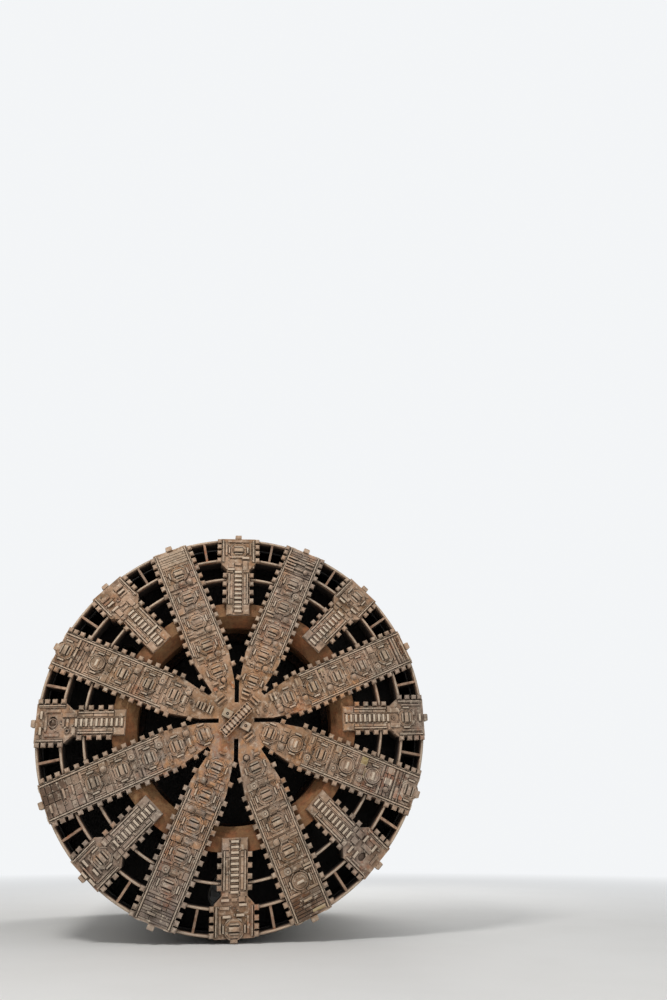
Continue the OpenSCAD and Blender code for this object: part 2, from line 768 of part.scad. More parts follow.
module middle_skin() {
    color(machine_white) {
        ring(middle_in_r, middle_r, middle_start, middle_end);
        ring(collar_r - skin_t, middle_r - 20, middle_start, middle_start + 100);
        ring(collar_r - skin_t, collar_r, pivot_y - 350, middle_start + bite);
        for (side = [-1, 1]) translate([0, pivot_y, side > 0 ? collar_r - 60 : -collar_r - 10])
            cylinder(h = 70, r = 200);
    }
}

module girder_front() {
    color(machine_white) ring(girder_in_r, middle_in_r, girder_y, girder_y + girder_t);
}

module girder_tube() {
    color(machine_white)
        ring(girder_in_r, girder_in_r + 100, girder_y + girder_t + seat, girder_back - girder_t - seat);
}

module girder_rear() {
    color(machine_white) difference() {
        ring(girder_in_r, middle_in_r, girder_back - girder_t, girder_back);
        at_jacks(0, jack_pairs - 1)
            rod_y(0, jack_r, girder_back - girder_t - 1, girder_back + 1, barrel_d / 2 + 5);
    }
}

module at_jacks(first, last) {
    for (k = [first:last], side = [-1, 1]) at_angle(k * pair_step + side * pair_half) children();
}

module jack_barrels() {
    front = girder_y + girder_t + seat;
    back = girder_back + 280;
    color(dark_steel) at_jacks(0, jack_pairs - 1) difference() {
        union() {
            rod_y(0, jack_r, front, back, barrel_d / 2);
            rod_y(0, jack_r, girder_back + seat, girder_back + 60, barrel_d / 2 + 50);
        }
        rod_y(0, jack_r, front + 80, back - 100, rod_d / 2 + 15);
        rod_y(0, jack_r, back - 101, back + 1, rod_d / 2 + seat);
    }
}

// One quarter of the thrust rods, with a shoe for each pair
module thrust_group(quarter) {
    half_group = (group_pairs - 1) / 2;
    first = quarter * group_pairs - half_group;
    color(steel) for (k = [first:first + group_pairs - 1]) at_angle(k * pair_step) {
        for (side = [-1, 1]) at_angle(side * pair_half)
            rod_y(0, jack_r, girder_back + 120 - jack_stroke, shoe_y + bite, rod_d / 2);
        plate(shoe_y, shoe_y + shoe_t) translate([0, jack_r + 60]) polygon(chamfered(1560, 460, 60));
    }
}

module tail_skin() {
    color(machine_white) ring(tail_in_r, tail_r, middle_end, tail_end);
}

module tail_brushes() {
    color(dark_steel) for (i = [0:brush_rows - 1]) {
        y = tail_end - 150 - 550 * i;
        tip_r = tail_in_r - 130;
        revolved([[tail_in_r, y - 130], [tail_in_r, y], [tip_r, y + 60], [tip_r, y + 20]]);
    }
}

// Brackets on the ring girder's back that carry the erector's ring between pads and rollers
module roller_brackets() {
    pad_y = erector_y - seat;
    color(machine_white) for (i = [0:bracket_count - 1]) at_angle(360 / bracket_count * (i + 0.5)) {
        translate([-170, girder_back, girder_in_r - 260]) cube([340, 1500, 320]);
        translate([-170, girder_back + 800, erector_r - 250]) cube([340, pad_y - girder_back - 800, 1200]);
        translate([-60, erector_y - 60, erector_r + 5 + roller_d - bite]) cube([120, 500, 800]);
        rod_y(0, erector_r + 5 + roller_d / 2, pad_y - bite, erector_y + erector_t - 100, roller_d / 2);
    }
}

module erector_ring() {
    back = erector_y + erector_t;
    low = -erector_r - 100;
    color("gold") {
        ring(erector_in_r, erector_r, erector_y, back);
        for (side = [-1, 1]) difference() {
            union() {
                translate([side * column_x, back + 450, low]) cylinder(h = 1400, r = column_d / 2);
                translate([side * column_x - 300, back - bite, low + 600]) cube([600, 450, 600]);
            }
            translate([side * column_x, back + 450, low - 1]) cylinder(h = 1300, r = guide_d / 2 + seat);
        }
    }
}

module erector_beam() {
    y = erector_y + erector_t + 450;
    z = -erector_r - 600;
    color("orange") {
        translate([-column_x - 300, y - 250, z]) cube([2 * column_x + 600, 500, 350]);
        for (side = [-1, 1]) {
            translate([side * column_x, y, z + bite]) cylinder(h = reach_stroke + 1100, r = guide_d / 2);
            translate([side * 600 - 100, y - 300, z]) cube([200, 2350, 200]);
        }
    }
}

module grip_head() {
    y = erector_y + erector_t + 450;
    z = -erector_r - 900;
    color("orange") {
        translate([-900, y - 300, z]) cube([1800, 1500, 300 - seat]);
        translate([0, y + 450, z - 250]) cylinder(h = 260, r = 220);
    }
}

// Decks between the ring girder's plates, in two wings beside the free middle
module work_decks() {
    y0 = girder_y + 100;
    y1 = girder_back - 100;
    color("gray") for (z = [deck_high, deck_mid, deck_low]) {
        end = sqrt(pow(girder_in_r - seat, 2) - pow(max(abs(z), abs(z - deck_t)), 2));
        for (side = [-1, 1])
            translate([side > 0 ? deck_gap : -end, y0, z - deck_t]) cube([end - deck_gap, y1 - y0, deck_t]);
    }
}

module towing_beams() {
    y0 = girder_y + 100;
    color("gold") for (side = [-1, 1]) translate([side * beam_x, 0, deck_mid]) difference() {
        union() {
            translate([-beam_w / 2, y0, 0]) cube([beam_w, beam_end - y0, beam_h]);
            translate([-70, beam_end - bite, 100]) cube([140, 450, 400]);
        }
        translate([-200, beam_end + 260, 300]) rotate([0, 90, 0]) cylinder(h = 400, r = eye_r);
    }
}

for (i = [1:8]) main_spoke(main_spokes[i - 1]);
hub();
sub_spokes();
rim();
outer_ring();
inner_ring();
rim_struts();
support_webs();
support_drum();
drum_legs();
rotor();
mixing_bars();
front_skin();
bulkhead();
fixed_bars();
front_frames();
gear_housing();
drive_motors();
rotary_joint();
man_lock(-1);  // man_lock_left
man_lock(1);  // man_lock_right
lock_door(-1);  // lock_door_left
lock_door(1);  // lock_door_right
screw_casing();
casing_flanges();
outlet_box();
screw_auger();
outlet_gate();
screw_drive();
steer_cylinders();
steer_clevises();
middle_skin();
girder_front();
girder_tube();
girder_rear();
jack_barrels();
thrust_group(0);  // thrust_top
thrust_group(1);  // thrust_right
thrust_group(2);  // thrust_bottom
thrust_group(3);  // thrust_left
tail_skin();
tail_brushes();
roller_brackets();
erector_ring();
erector_beam();
grip_head();
work_decks();
towing_beams();
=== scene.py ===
"""Looks of a tunnel boring machine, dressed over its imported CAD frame.

Metres. X right, Y back along the machine's axis, Z up; the origin is on the axis in the plane of the face.
"""

import math
import random
from collections import namedtuple

import bmesh
import bpy
from mathutils import Matrix, Vector


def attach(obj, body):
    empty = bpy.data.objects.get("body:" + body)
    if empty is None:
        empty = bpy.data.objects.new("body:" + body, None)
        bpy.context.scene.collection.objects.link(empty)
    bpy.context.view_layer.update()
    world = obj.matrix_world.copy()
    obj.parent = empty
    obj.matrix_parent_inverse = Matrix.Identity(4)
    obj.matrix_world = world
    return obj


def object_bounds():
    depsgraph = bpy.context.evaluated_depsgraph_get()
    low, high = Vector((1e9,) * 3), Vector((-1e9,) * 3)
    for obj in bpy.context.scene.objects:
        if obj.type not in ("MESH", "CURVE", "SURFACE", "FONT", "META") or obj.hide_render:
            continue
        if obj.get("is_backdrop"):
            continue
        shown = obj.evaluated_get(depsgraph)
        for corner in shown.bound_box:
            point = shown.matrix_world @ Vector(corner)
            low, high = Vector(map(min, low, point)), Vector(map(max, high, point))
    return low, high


bl_info = {
    "name": "Tunnel Boring Machine",
    "version": (1, 0, 0),
    "blender": (4, 5, 0),
    "location": "View3D > Sidebar > Tunnel machine",
    "description": "Dresses the packed frame of a tunnel boring machine",
    "category": "Object",
}

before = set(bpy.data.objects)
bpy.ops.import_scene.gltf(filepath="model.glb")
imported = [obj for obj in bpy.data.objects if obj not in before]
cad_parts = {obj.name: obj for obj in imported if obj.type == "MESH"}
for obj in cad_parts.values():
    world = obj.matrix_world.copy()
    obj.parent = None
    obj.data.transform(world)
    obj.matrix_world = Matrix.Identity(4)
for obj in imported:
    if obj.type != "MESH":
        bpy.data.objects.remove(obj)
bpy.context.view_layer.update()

# Lengths are distances from the axis. A main spoke's even row of side teeth starts at first_tooth and its
# row of housings ends at last_housing; rim_housing stands apart near the rim, or is 0; missing counts from
# 0 at last_housing inwards to the one that has lost its cutter, or is -1. Bars and rings are (x, z).
MainSpoke = namedtuple("MainSpoke", "angle first_tooth inner_teeth last_housing housings rim_housing missing")
SubSpoke = namedtuple("SubSpoke", "angle stem_tooth head_teeth housing bars rings")
MAIN_SPOKES = [
    MainSpoke(22.5, 3.37, (2.58, 1.76), 6.80, 5, 0, -1),
    MainSpoke(67.5, 3.17, (2.78, 2.18), 7.45, 5, 0, -1),
    MainSpoke(112.5, 2.97, (1.95,), 6.50, 5, 8.23, -1),
    MainSpoke(157.5, 3.17, (2.40,), 7.10, 5, 0, -1),
    MainSpoke(202.5, 3.37, (2.58, 1.76), 7.05, 5, 0, -1),
    MainSpoke(247.5, 3.17, (2.78, 2.18), 6.45, 5, 0, -1),
    MainSpoke(292.5, 2.97, (1.95,), 6.70, 4, 8.23, -1),
    MainSpoke(337.5, 3.17, (2.40,), 7.30, 5, 0, 2),
]
SUB_SPOKES = [
    SubSpoke(0, 5.45, (7.45, 7.82, 8.13, 8.40), 7.95, ((0.35, 7.56), (-0.34, 6.99)), ()),
    SubSpoke(45, 5.64, (7.69, 8.02, 8.30), 8.03, ((-0.37, 7.40), (0.37, 7.40)), ((0, 7.48),)),
    SubSpoke(90, 5.45, (7.45, 7.82, 8.13, 8.40), 7.72, ((0, 8.35),), ((0, 7.12),)),
    SubSpoke(135, 5.64, (7.69, 8.02, 8.30), 0, ((0.38, 7.60), (0.38, 7.30), (-0.33, 8.03), (-0.38, 7.51)),
        ()),
    SubSpoke(180, 5.45, (7.45, 7.82, 8.13, 8.40), 8.20, ((-0.25, 7.70), (0.30, 7.75), (-0.35, 7.33),
        (0.38, 7.15)), ((0, 7.45),)),
    SubSpoke(225, 5.64, (7.69, 8.02, 8.30), 7.60, ((-0.40, 8.45), (0.03, 8.49), (-0.22, 8.11),
        (0.33, 8.18)), ()),
    SubSpoke(270, 5.45, (7.45, 7.82, 8.13, 8.40), 0, ((-0.33, 8.32), (0.33, 8.32)), ()),
    SubSpoke(315, 5.64, (7.69, 8.02, 8.30), 0, ((-0.38, 7.80), (-0.38, 7.50), (0.34, 7.93), (0.27, 5.60)),
        ((0, 7.75),)),
]

# What else stands on the main spokes: angle, bars as (x, z, width), small rings as (x, z)
SPOKE_MARKS = [
    (22.5, ((-0.45, 8.05, 0.46), (-0.45, 7.87, 0.46), (-0.02, 7.90, 0.42), (-0.45, 7.72, 0.46),
        (0.0, 7.59, 0.40), (-0.45, 7.56, 0.46), (-0.45, 7.42, 0.46), (0.42, 8.05, 0.40), (0.42, 7.84, 0.40),
        (-0.45, 5.12, 0.38), (-0.45, 4.97, 0.38), (-0.44, 3.78, 0.28), (-0.36, 2.58, 0.24),
        (-0.08, 1.36, 0.36), (-0.08, 1.20, 0.36), (-0.06, 0.98, 0.30)), ((-0.03, 2.41),)),
    (67.5, ((0, 8.44, 1.25), (0, 8.15, 1.25), (0, 8.02, 1.25), (-0.40, 4.36, 0.30), (-0.48, 3.13, 0.34),
        (-0.30, 1.97, 0.34), (-0.30, 1.79, 0.34), (0.05, 1.00, 0.22)), ((0, 4.41), (0.05, 1.35))),
    (112.5, ((0, 7.53, 1.25), (-0.45, 3.50, 0.30), (0, 2.10, 0.24)), ((0, 5.98), (0.35, 5.97))),
    (157.5, ((-0.02, 7.86, 0.36), (-0.50, 6.75, 0.34), (-0.50, 6.62, 0.34), (-0.46, 5.32, 0.36),
        (-0.52, 4.15, 0.28), (-0.52, 4.04, 0.28), (-0.45, 2.91, 0.28), (-0.26, 1.68, 0.26)), ((0, 5.34),)),
    (202.5, ((0.20, 8.18, 0.36), (0.06, 7.90, 0.34), (-0.48, 3.93, 0.36), (-0.40, 2.65, 0.34),
        (0.02, 1.52, 0.26)), ((0.02, 5.19),)),
    (247.5, ((-0.31, 8.29, 0.32), (0.08, 7.65, 0.40), (0.08, 7.27, 0.38), (-0.44, 4.54, 0.30),
        (-0.04, 2.18, 0.30), (-0.06, 1.56, 0.34), (-0.04, 1.40, 0.34)), ((-0.29, 7.69),)),
    (292.5, ((-0.45, 7.78, 0.42), (0.06, 7.76, 0.38), (0.48, 7.78, 0.34), (-0.40, 7.35, 0.40),
        (-0.45, 4.94, 0.34), (-0.03, 2.50, 0.38), (0, 1.86, 0.30), (0, 1.70, 0.32), (0, 1.56, 0.34),
        (0, 1.34, 0.36), (0, 1.20, 0.34)), ((0.02, 4.94), (0, 2.18))),
    (337.5, ((-0.52, 4.36, 0.26), (-0.52, 4.24, 0.26), (-0.50, 3.12, 0.26), (-0.27, 1.84, 0.26),
        (-0.05, 1.60, 0.28)), ()),
]
# Domes besides those that follow each housing: angle, x, z
LONE_DOMES = [
    (22.5, 0.35, 7.55), (67.5, 0.18, 1.96), (112.5, 0.34, 7.22), (157.5, 0.20, 1.66), (292.5, 0.38, 7.36),
    (292.5, 0.28, 2.43), (337.5, 0.12, 1.86),
]
# Housings that read as round sockets packed with soil: angle, z
ROUND_HOUSINGS = ((112.5, 6.50), (112.5, 5.27), (112.5, 2.81), (157.5, 7.10), (292.5, 6.70))
# Patches of another finish: angle, x, z, width, height, finish
PATCHES = [
    (112.5, 0.02, 6.14, 0.44, 0.11, "stain"), (112.5, -0.46, 5.97, 0.34, 0.30, "stain"),
    (112.5, -0.50, 7.24, 0.28, 0.30, "bars"), (112.5, -0.03, 7.24, 0.26, 0.32, "bars"),
    (112.5, 0.27, 7.97, 0.50, 0.17, "orange_soil"), (112.5, 0.30, 7.73, 0.46, 0.17, "orange_soil"),
    (112.5, -0.33, 7.97, 0.56, 0.17, "outer"), (157.5, -0.32, 8.35, 0.56, 0.14, "stain"),
    (337.5, -0.36, 1.62, 0.18, 0.18, "orange_soil"), (337.5, 0.40, 1.52, 0.12, 0.34, "orange_soil"),
    (202.5, 0.50, 3.42, 0.22, 0.30, "orange_soil"), (157.5, -0.60, 3.30, 0.16, 0.22, "orange_soil"),
    (67.5, -0.52, 4.36, 0.14, 0.24, "stain"), (22.5, -0.60, 6.05, 0.10, 0.24, "orange_soil"),
]
# Plates on the sub-spokes' heads: angle, plates as (x, z, width, height)
HEAD_PLATES = [
    (0, ((0.02, 7.62, 0.90, 0.09), (-0.32, 7.20, 0.24, 0.24), (0.33, 7.20, 0.22, 0.46),
        (-0.02, 7.26, 0.28, 0.12), (0, 8.41, 1.0, 0.09), (-0.57, 8.02, 0.09, 0.62),
        (0.57, 8.02, 0.09, 0.62))),
    (45, ((0.02, 8.37, 0.80, 0.08), (-0.35, 7.62, 0.46, 0.16), (0.35, 7.64, 0.46, 0.14),
        (-0.36, 7.15, 0.28, 0.15), (0.36, 7.15, 0.28, 0.15), (0, 7.16, 0.34, 0.12), (0, 6.93, 0.32, 0.08))),
    (90, ((0.24, 8.05, 0.20, 0.12), (-0.24, 8.08, 0.26, 0.10), (-0.33, 7.20, 0.20, 0.44),
        (0.33, 7.20, 0.20, 0.44), (-0.56, 7.95, 0.07, 0.90), (0.56, 7.95, 0.07, 0.90),
        (0, 6.94, 0.32, 0.10))),
    (135, ((0, 8.32, 0.46, 0.10), (-0.53, 7.90, 0.14, 0.50), (-0.35, 7.22, 0.24, 0.32),
        (-0.12, 7.80, 0.20, 0.50), (0, 7.20, 0.26, 0.26), (0.60, 7.90, 0.08, 0.60))),
    (180, ((-0.57, 8.05, 0.10, 0.66), (0.57, 8.05, 0.10, 0.66), (0.40, 7.44, 0.40, 0.11),
        (-0.30, 7.12, 0.26, 0.20), (0, 7.14, 0.24, 0.12), (0, 7.86, 0.60, 0.08))),
    (225, ((-0.56, 7.90, 0.08, 0.80), (0.56, 7.90, 0.08, 0.80), (0, 8.34, 0.90, 0.06),
        (-0.36, 7.14, 0.26, 0.22), (0.36, 7.14, 0.26, 0.22), (0, 7.98, 0.84, 0.07), (0, 7.06, 0.34, 0.09))),
    (270, ((-0.50, 7.84, 0.12, 0.60), (0.50, 7.84, 0.12, 0.60), (0, 8.12, 0.70, 0.10),
        (-0.30, 6.98, 0.24, 0.16), (0, 7.40, 0.32, 0.10), (0, 7.22, 0.32, 0.10), (0.32, 7.20, 0.16, 0.50))),
    (315, ((-0.40, 8.19, 0.44, 0.20), (0.38, 8.19, 0.44, 0.20), (-0.40, 7.95, 0.44, 0.10),
        (0.38, 7.77, 0.30, 0.08), (-0.36, 7.26, 0.22, 0.40), (0.34, 7.26, 0.22, 0.40),
        (0, 7.45, 0.30, 0.10), (0, 7.25, 0.30, 0.10))),
]


def shade(code):
    """A colour written as six hex digits, as Blender's linear values."""
    parts = [int(code[i:i + 2], 16) / 255 for i in (0, 2, 4)]
    return tuple(p / 12.92 if p <= 0.04045 else ((p + 0.055) / 1.055) ** 2.4 for p in parts)


def length(name, description, default):
    """A size in metres for the panel."""
    return bpy.props.FloatProperty(name=name, description=description, default=default, min=0, unit="LENGTH")


def tint(name, description, code):
    """A colour for the panel."""
    return bpy.props.FloatVectorProperty(
        name=name, description=description, default=shade(code), size=3, min=0, max=1, subtype="COLOR"
    )


class CutterheadSizes(bpy.types.PropertyGroup):
    rest_turn: bpy.props.FloatProperty(
        name="Turn at rest", description="How far the cutterhead is turned", default=math.radians(-2.02),
        subtype="ANGLE",
    )
    spoke_half: length("Half spoke", "Half width of a main spoke", 0.82)
    taper_z: length("Taper", "Where the main spokes start to taper", 3.0)
    stem_half: length("Half stem", "Half width of a sub-spoke's stem", 0.54)
    tooth_pitch: length("Tooth pitch", "Spacing of the side teeth", 0.41)
    housing_pitch: length("Housing pitch", "Spacing of the cutter housings", 1.23)
    seam: length("Seam", "Gap between two wear plates", 0.026)


class ShieldSizes(bpy.types.PropertyGroup):
    rail_h: length("Rail height", "Height of the deck railings", 1.1)


class FinishColours(bpy.types.PropertyGroup):
    dust: tint("Dust", "Dry soil on the face", "B8977C")
    steel: tint("Face steel", "Worn steel of the face", "94704F")
    warm: tint("Warm soil", "Orange soil near the hub", "C68C58")
    stain: tint("Stain", "Dark damp soil on the face", "3A2A1D")
    pale: tint("Pale edges", "Teeth and edges rubbed bare", "DFCDB5")
    rust: tint("Rust", "Rust on the face", "A5623A")
    deep_rust: tint("Deep rust", "Old rust in corners", "6A4128")
    mud: tint("Mud", "Dark wet soil in the chamber", "211B16")
    support: tint("Support ring", "Ochre soil on the support ring", "7A5433")
    paint: tint("White paint", "Paint inside the shield", "D6D5CE")
    hull: tint("Hull", "Outer skin of the shield", "8C8A83")
    dark: tint("Dark paint", "Motors and cylinders", "3D4144")
    yellow: tint("Yellow", "Erector and towing beams", "D8A51E")
    orange: tint("Orange", "Erector's head", "C8651C")


class StageSizes(bpy.types.PropertyGroup):
    lens: bpy.props.FloatProperty(name="Lens", description="Camera's focal length", default=28.55, min=1)
    camera_place: bpy.props.FloatVectorProperty(
        name="Camera", description="Camera's place", default=(-1.044, -36.48, -4.82), subtype="TRANSLATION"
    )
    camera_turn: bpy.props.FloatVectorProperty(
        name="Camera turn", description="Camera's turn", subtype="EULER",
        default=(math.radians(113.10), 0, math.radians(-8.42)),
    )
    floor: tint("Floor", "Colour of the floor", "E6E4E0")


def sizes():
    return bpy.context.scene.cutterhead_sizes


def colours():
    return bpy.context.scene.finish_colours


# ---------------------------------------------------------------- making pieces

def turned(angle):
    """Turns clockwise as seen from the front, in degrees."""
    return Matrix.Rotation(math.radians(angle), 4, "Y")


def on_spoke(angle):
    """A spoke's own frame: its length runs up the local Z axis."""
    return Matrix.Rotation(sizes().rest_turn, 4, "Y") @ turned(angle)


def block(bm, place, centre, size):
    """A box at a place."""
    bmesh.ops.create_cube(bm, size=1, matrix=place @ Matrix.Translation(centre) @ Matrix.Diagonal((*size, 1)))


def plate(bm, place, x0, x1, z0, z1, proud, sink=0.006, base=0.0):
    """A plate on the face between two x and two z."""
    block(bm, place, ((x0 + x1) / 2, -base - (proud - sink) / 2, (z0 + z1) / 2),
          (abs(x1 - x0), proud + sink, z1 - z0))


def stud(bm, place, centre, r_back, r_front, depth, segments=16):
    """A round boss along Y, its front end towards the face's front."""
    bmesh.ops.create_cone(
        bm, cap_ends=True, cap_tris=False, segments=segments, radius1=r_back, radius2=r_front, depth=depth,
        matrix=place @ Matrix.Translation(centre) @ Matrix.Rotation(math.pi / 2, 4, "X"),
    )


def spun(bm, place, profile, steps, angle=math.tau):
    """A closed section of (radius, y) points, spun about the local Y axis, from the local Z axis on."""
    verts = [bm.verts.new(place @ Vector((0, y, r))) for r, y in profile]
    edges = [bm.edges.new((verts[i], verts[(i + 1) % len(verts)])) for i in range(len(verts))]
    whole = abs(angle - math.tau) < 1e-6
    if not whole:
        bm.faces.new(verts)
    made = bmesh.ops.spin(
        bm, geom=verts + edges, cent=place.translation, axis=place.to_3x3() @ Vector((0, 1, 0)), angle=angle,
        steps=steps, use_merge=whole, use_duplicate=False,
    )
    if not whole:
        last = [g for g in made["geom_last"] if isinstance(g, bmesh.types.BMEdge)]
        bmesh.ops.holes_fill(bm, edges=last, sides=0)


def hoop(bm, place, centre, r_in, r_out, depth, steps=20):
    """A flat ring standing forward of its place."""
    spun(bm, place @ Matrix.Translation(centre), [(r_in, 0), (r_out, 0), (r_out, -depth), (r_in, -depth)],
         steps)


def rod(bm, start, end, r, segments=12):
    """A round rod between two points."""
    start, end = Vector(start), Vector(end)
    along = end - start
    bmesh.ops.create_cone(
        bm, cap_ends=True, cap_tris=False, segments=segments, radius1=r, radius2=r, depth=along.length,
        matrix=Matrix.Translation((start + end) / 2) @ along.to_track_quat("Z", "Y").to_matrix().to_4x4(),
    )


def rod_in(bm, place, start, end, r, segments):
    """A rod between two points of a place."""
    rod(bm, place @ Vector(start), place @ Vector(end), r, segments)


def pipe(bm, points, r, segments=12):
    """A pipe through some points, with round elbows."""
    for a, b in zip(points, points[1:]):
        rod(bm, a, b, r, segments)
    for p in points[1:-1]:
        bmesh.ops.create_uvsphere(bm, u_segments=segments, v_segments=8, radius=r,
                                  matrix=Matrix.Translation(p))


def finish_piece(bm, name, body, finish, chamfer=0.0, segments=1):
    """Chamfers what a bmesh holds before it becomes a piece."""
    if chamfer:
        bmesh.ops.bevel(
            bm, geom=bm.edges[:], offset=chamfer, offset_type="OFFSET", affect="EDGES", segments=segments,
            profile=0.5, material=-1, clamp_overlap=True,
        )
    return finish_shape(bm, name, body, finish)


def finish_shape(bm, name, body, finish):
    """Makes a bmesh an object, gives it its finish and lets it ride on a body."""
    bmesh.ops.recalc_face_normals(bm, faces=bm.faces[:])
    for face in bm.faces:
        face.smooth = True
    for edge in bm.edges:
        edge.smooth = edge.calc_face_angle(0) < math.radians(35)
    mesh = bpy.data.meshes.new(name)
    bm.to_mesh(mesh)
    bm.free()
    piece = bpy.data.objects.new(name, mesh)
    bpy.context.scene.collection.objects.link(piece)
    mesh.materials.append(FINISHES[finish])
    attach(piece, body)
    return piece


# ---------------------------------------------------------------- finishes

CORNER_SHADE = shade("2B2723")    # painted shade in the corners of paint-finished pieces


class Finish:
    """A weathered finish that reads the piece's own Object coordinates."""

    def __init__(self, name):
        self.material = bpy.data.materials.new(name)
        self.material.use_nodes = True
        self.nodes = self.material.node_tree.nodes
        self.links = self.material.node_tree.links
        self.shader = self.nodes["Principled BSDF"]
        self.where = self.nodes.new("ShaderNodeTexCoord").outputs["Object"]

    def add(self, kind, **values):
        node = self.nodes.new(kind)
        for key, value in values.items():
            if hasattr(node, key):
                setattr(node, key, value)
            else:
                node.inputs[key.replace("_", " ")].default_value = value
        return node

    def cloud(self, scale, detail=4.0, rough=0.55, stretch=(1, 1, 1)):
        mapping = self.add("ShaderNodeMapping")
        mapping.inputs["Scale"].default_value = stretch
        self.links.new(self.where, mapping.inputs["Vector"])
        noise = self.add("ShaderNodeTexNoise")
        noise.inputs["Scale"].default_value = scale
        noise.inputs["Detail"].default_value = detail
        noise.inputs["Roughness"].default_value = rough
        self.links.new(mapping.outputs["Vector"], noise.inputs["Vector"])
        return noise.outputs["Fac"]

    def steps(self, value, low, high, power=1.0):
        """Spreads a value between two limits over 0 to power."""
        ramp = self.add("ShaderNodeMapRange")
        for name, limit in (("From Min", low), ("From Max", high), ("To Min", 0), ("To Max", power)):
            if isinstance(limit, (int, float)):
                ramp.inputs[name].default_value = limit
            else:
                self.links.new(limit, ramp.inputs[name])
        self.links.new(value, ramp.inputs["Value"])
        return ramp.outputs["Result"]

    def math(self, kind, a, b):
        node = self.add("ShaderNodeMath", operation=kind)
        for socket, value in zip(node.inputs, (a, b)):
            if isinstance(value, (int, float)):
                socket.default_value = value
            else:
                self.links.new(value, socket)
        return node.outputs[0]

    def mix(self, factor, a, b, blend="MIX"):
        node = self.add("ShaderNodeMix", data_type="RGBA", blend_type=blend)
        for socket, value in ((node.inputs[0], factor), (node.inputs[6], a), (node.inputs[7], b)):
            if isinstance(value, (int, float)):
                socket.default_value = value
            elif hasattr(value, "links"):
                self.links.new(value, socket)
            else:
                socket.default_value = (*value, 1)
        return node.outputs[2]

    def clouded(self, colour, tone, cloud, limits):
        """Lays another tone over a colour in clouds."""
        return self.mix(self.steps(self.cloud(*cloud), *limits), colour, tone)

    def corners(self, reach, inside=False):
        """How open the surface lies: 1 in the open, less in corners (or on edges, from inside)."""
        node = self.add("ShaderNodeAmbientOcclusion", inside=inside)
        node.samples = 6
        node.inputs["Distance"].default_value = reach
        return node.outputs["AO"]

    def hollow_shade(self, reach, low, high, power):
        """Where the surface lies in a corner: the mask for painted shade."""
        return self.steps(self.math("SUBTRACT", 1.0, self.corners(reach)), low, high, power)

    def radius(self):
        """Distance from the machine's axis."""
        flat = self.add("ShaderNodeVectorMath", operation="MULTIPLY")
        flat.inputs[1].default_value = (1, 0, 1)
        self.links.new(self.where, flat.inputs[0])
        size = self.add("ShaderNodeVectorMath", operation="LENGTH")
        self.links.new(flat.outputs["Vector"], size.inputs[0])
        return size.outputs["Value"]

    def depth(self):
        """Distance back along the machine's axis."""
        split = self.add("ShaderNodeSeparateXYZ")
        self.links.new(self.where, split.inputs["Vector"])
        return split.outputs["Y"]

    def done(self, colour, rough=0.7, metal=0.0, grain=((18.0, 0.004),)):
        """Sets the shader; grain is pairs of how fine and how high the surface's unevenness is."""
        self.links.new(colour, self.shader.inputs["Base Color"])
        if isinstance(rough, (int, float)):
            self.shader.inputs["Roughness"].default_value = rough
        else:
            self.links.new(rough, self.shader.inputs["Roughness"])
        self.shader.inputs["Metallic"].default_value = metal
        height = None
        for scale, high in grain:
            layer = self.math("MULTIPLY", self.cloud(scale, 5.0, 0.6), high)
            height = layer if height is None else self.math("ADD", height, layer)
        node = self.add("ShaderNodeBump")
        node.inputs["Strength"].default_value = 1.0
        node.inputs["Distance"].default_value = 1.0
        self.links.new(height, node.inputs["Height"])
        self.links.new(node.outputs["Normal"], self.shader.inputs["Normal"])
        return self.material


def face_finish(name, base, dust_share=0.5, rust_share=0.45, dark=0.9, edge=0.4):
    """Worn steel under dry soil: rusty in patches, with painted shade in corners, darker deep down, pale on
    edges from wear and a painted highlight.
    """
    c = colours()
    f = Finish(name)
    layer = f.steps(f.cloud(0.8, 6.0, 0.6), 0.5 - dust_share * 0.2, 0.60, min(1.0, 0.45 + dust_share))
    colour = f.mix(layer, base, c.dust)
    near = f.math("ADD", 0.38, f.math("MULTIPLY", f.radius(), 0.026))
    colour = f.clouded(colour, shade("8A8078"), (0.16, 2.0), (0.48, 0.60, 0.6))
    warm = f.steps(f.cloud(0.33, 4.0), near, f.math("ADD", near, 0.14), 0.8)
    colour = f.mix(f.math("MULTIPLY", warm, f.steps(f.cloud(3.0), 0.35, 0.6)), colour, c.warm)
    colour = f.clouded(colour, c.stain, (1.4, 7.0, 0.68), (0.50, 0.66, 0.6))
    colour = f.clouded(colour, c.stain, (7.0, 6.0, 0.75), (0.54, 0.68, 0.4))
    colour = f.clouded(colour, c.pale, (4.5, 6.0, 0.7), (0.52, 0.66, 0.5))
    rust = f.math("MULTIPLY", f.steps(f.cloud(0.6, 6.0, 0.62), 0.62 - rust_share * 0.16, 0.70),
                  f.steps(f.cloud(5.0, 5.0, 0.7), 0.38, 0.60))
    colour = f.mix(f.math("MULTIPLY", rust, 0.85), colour, c.rust)
    # pale on convex edges: rubbed-bare wear and a painted highlight
    wear_and_highlight = f.math("SUBTRACT", 1.0, f.corners(0.03, inside=True))
    colour = f.mix(f.steps(wear_and_highlight, 0.25, 0.75, edge), colour, c.pale)
    # painted shade: near-black in corners and seams
    colour = f.mix(f.hollow_shade(0.12, 0.20, 0.62, dark), colour, shade("1A130D"))
    # painted shade: the dark stain colour in a wide band round raised parts, as a contact shadow
    colour = f.mix(f.hollow_shade(0.6, 0.25, 0.95, 0.55), colour, c.stain)
    colour = f.mix(f.steps(f.depth(), 0.10, 0.75, 0.94), colour, c.mud)
    return f.done(colour, rough=0.85, grain=((2.5, 0.025), (8.0, 0.016), (30.0, 0.005)))


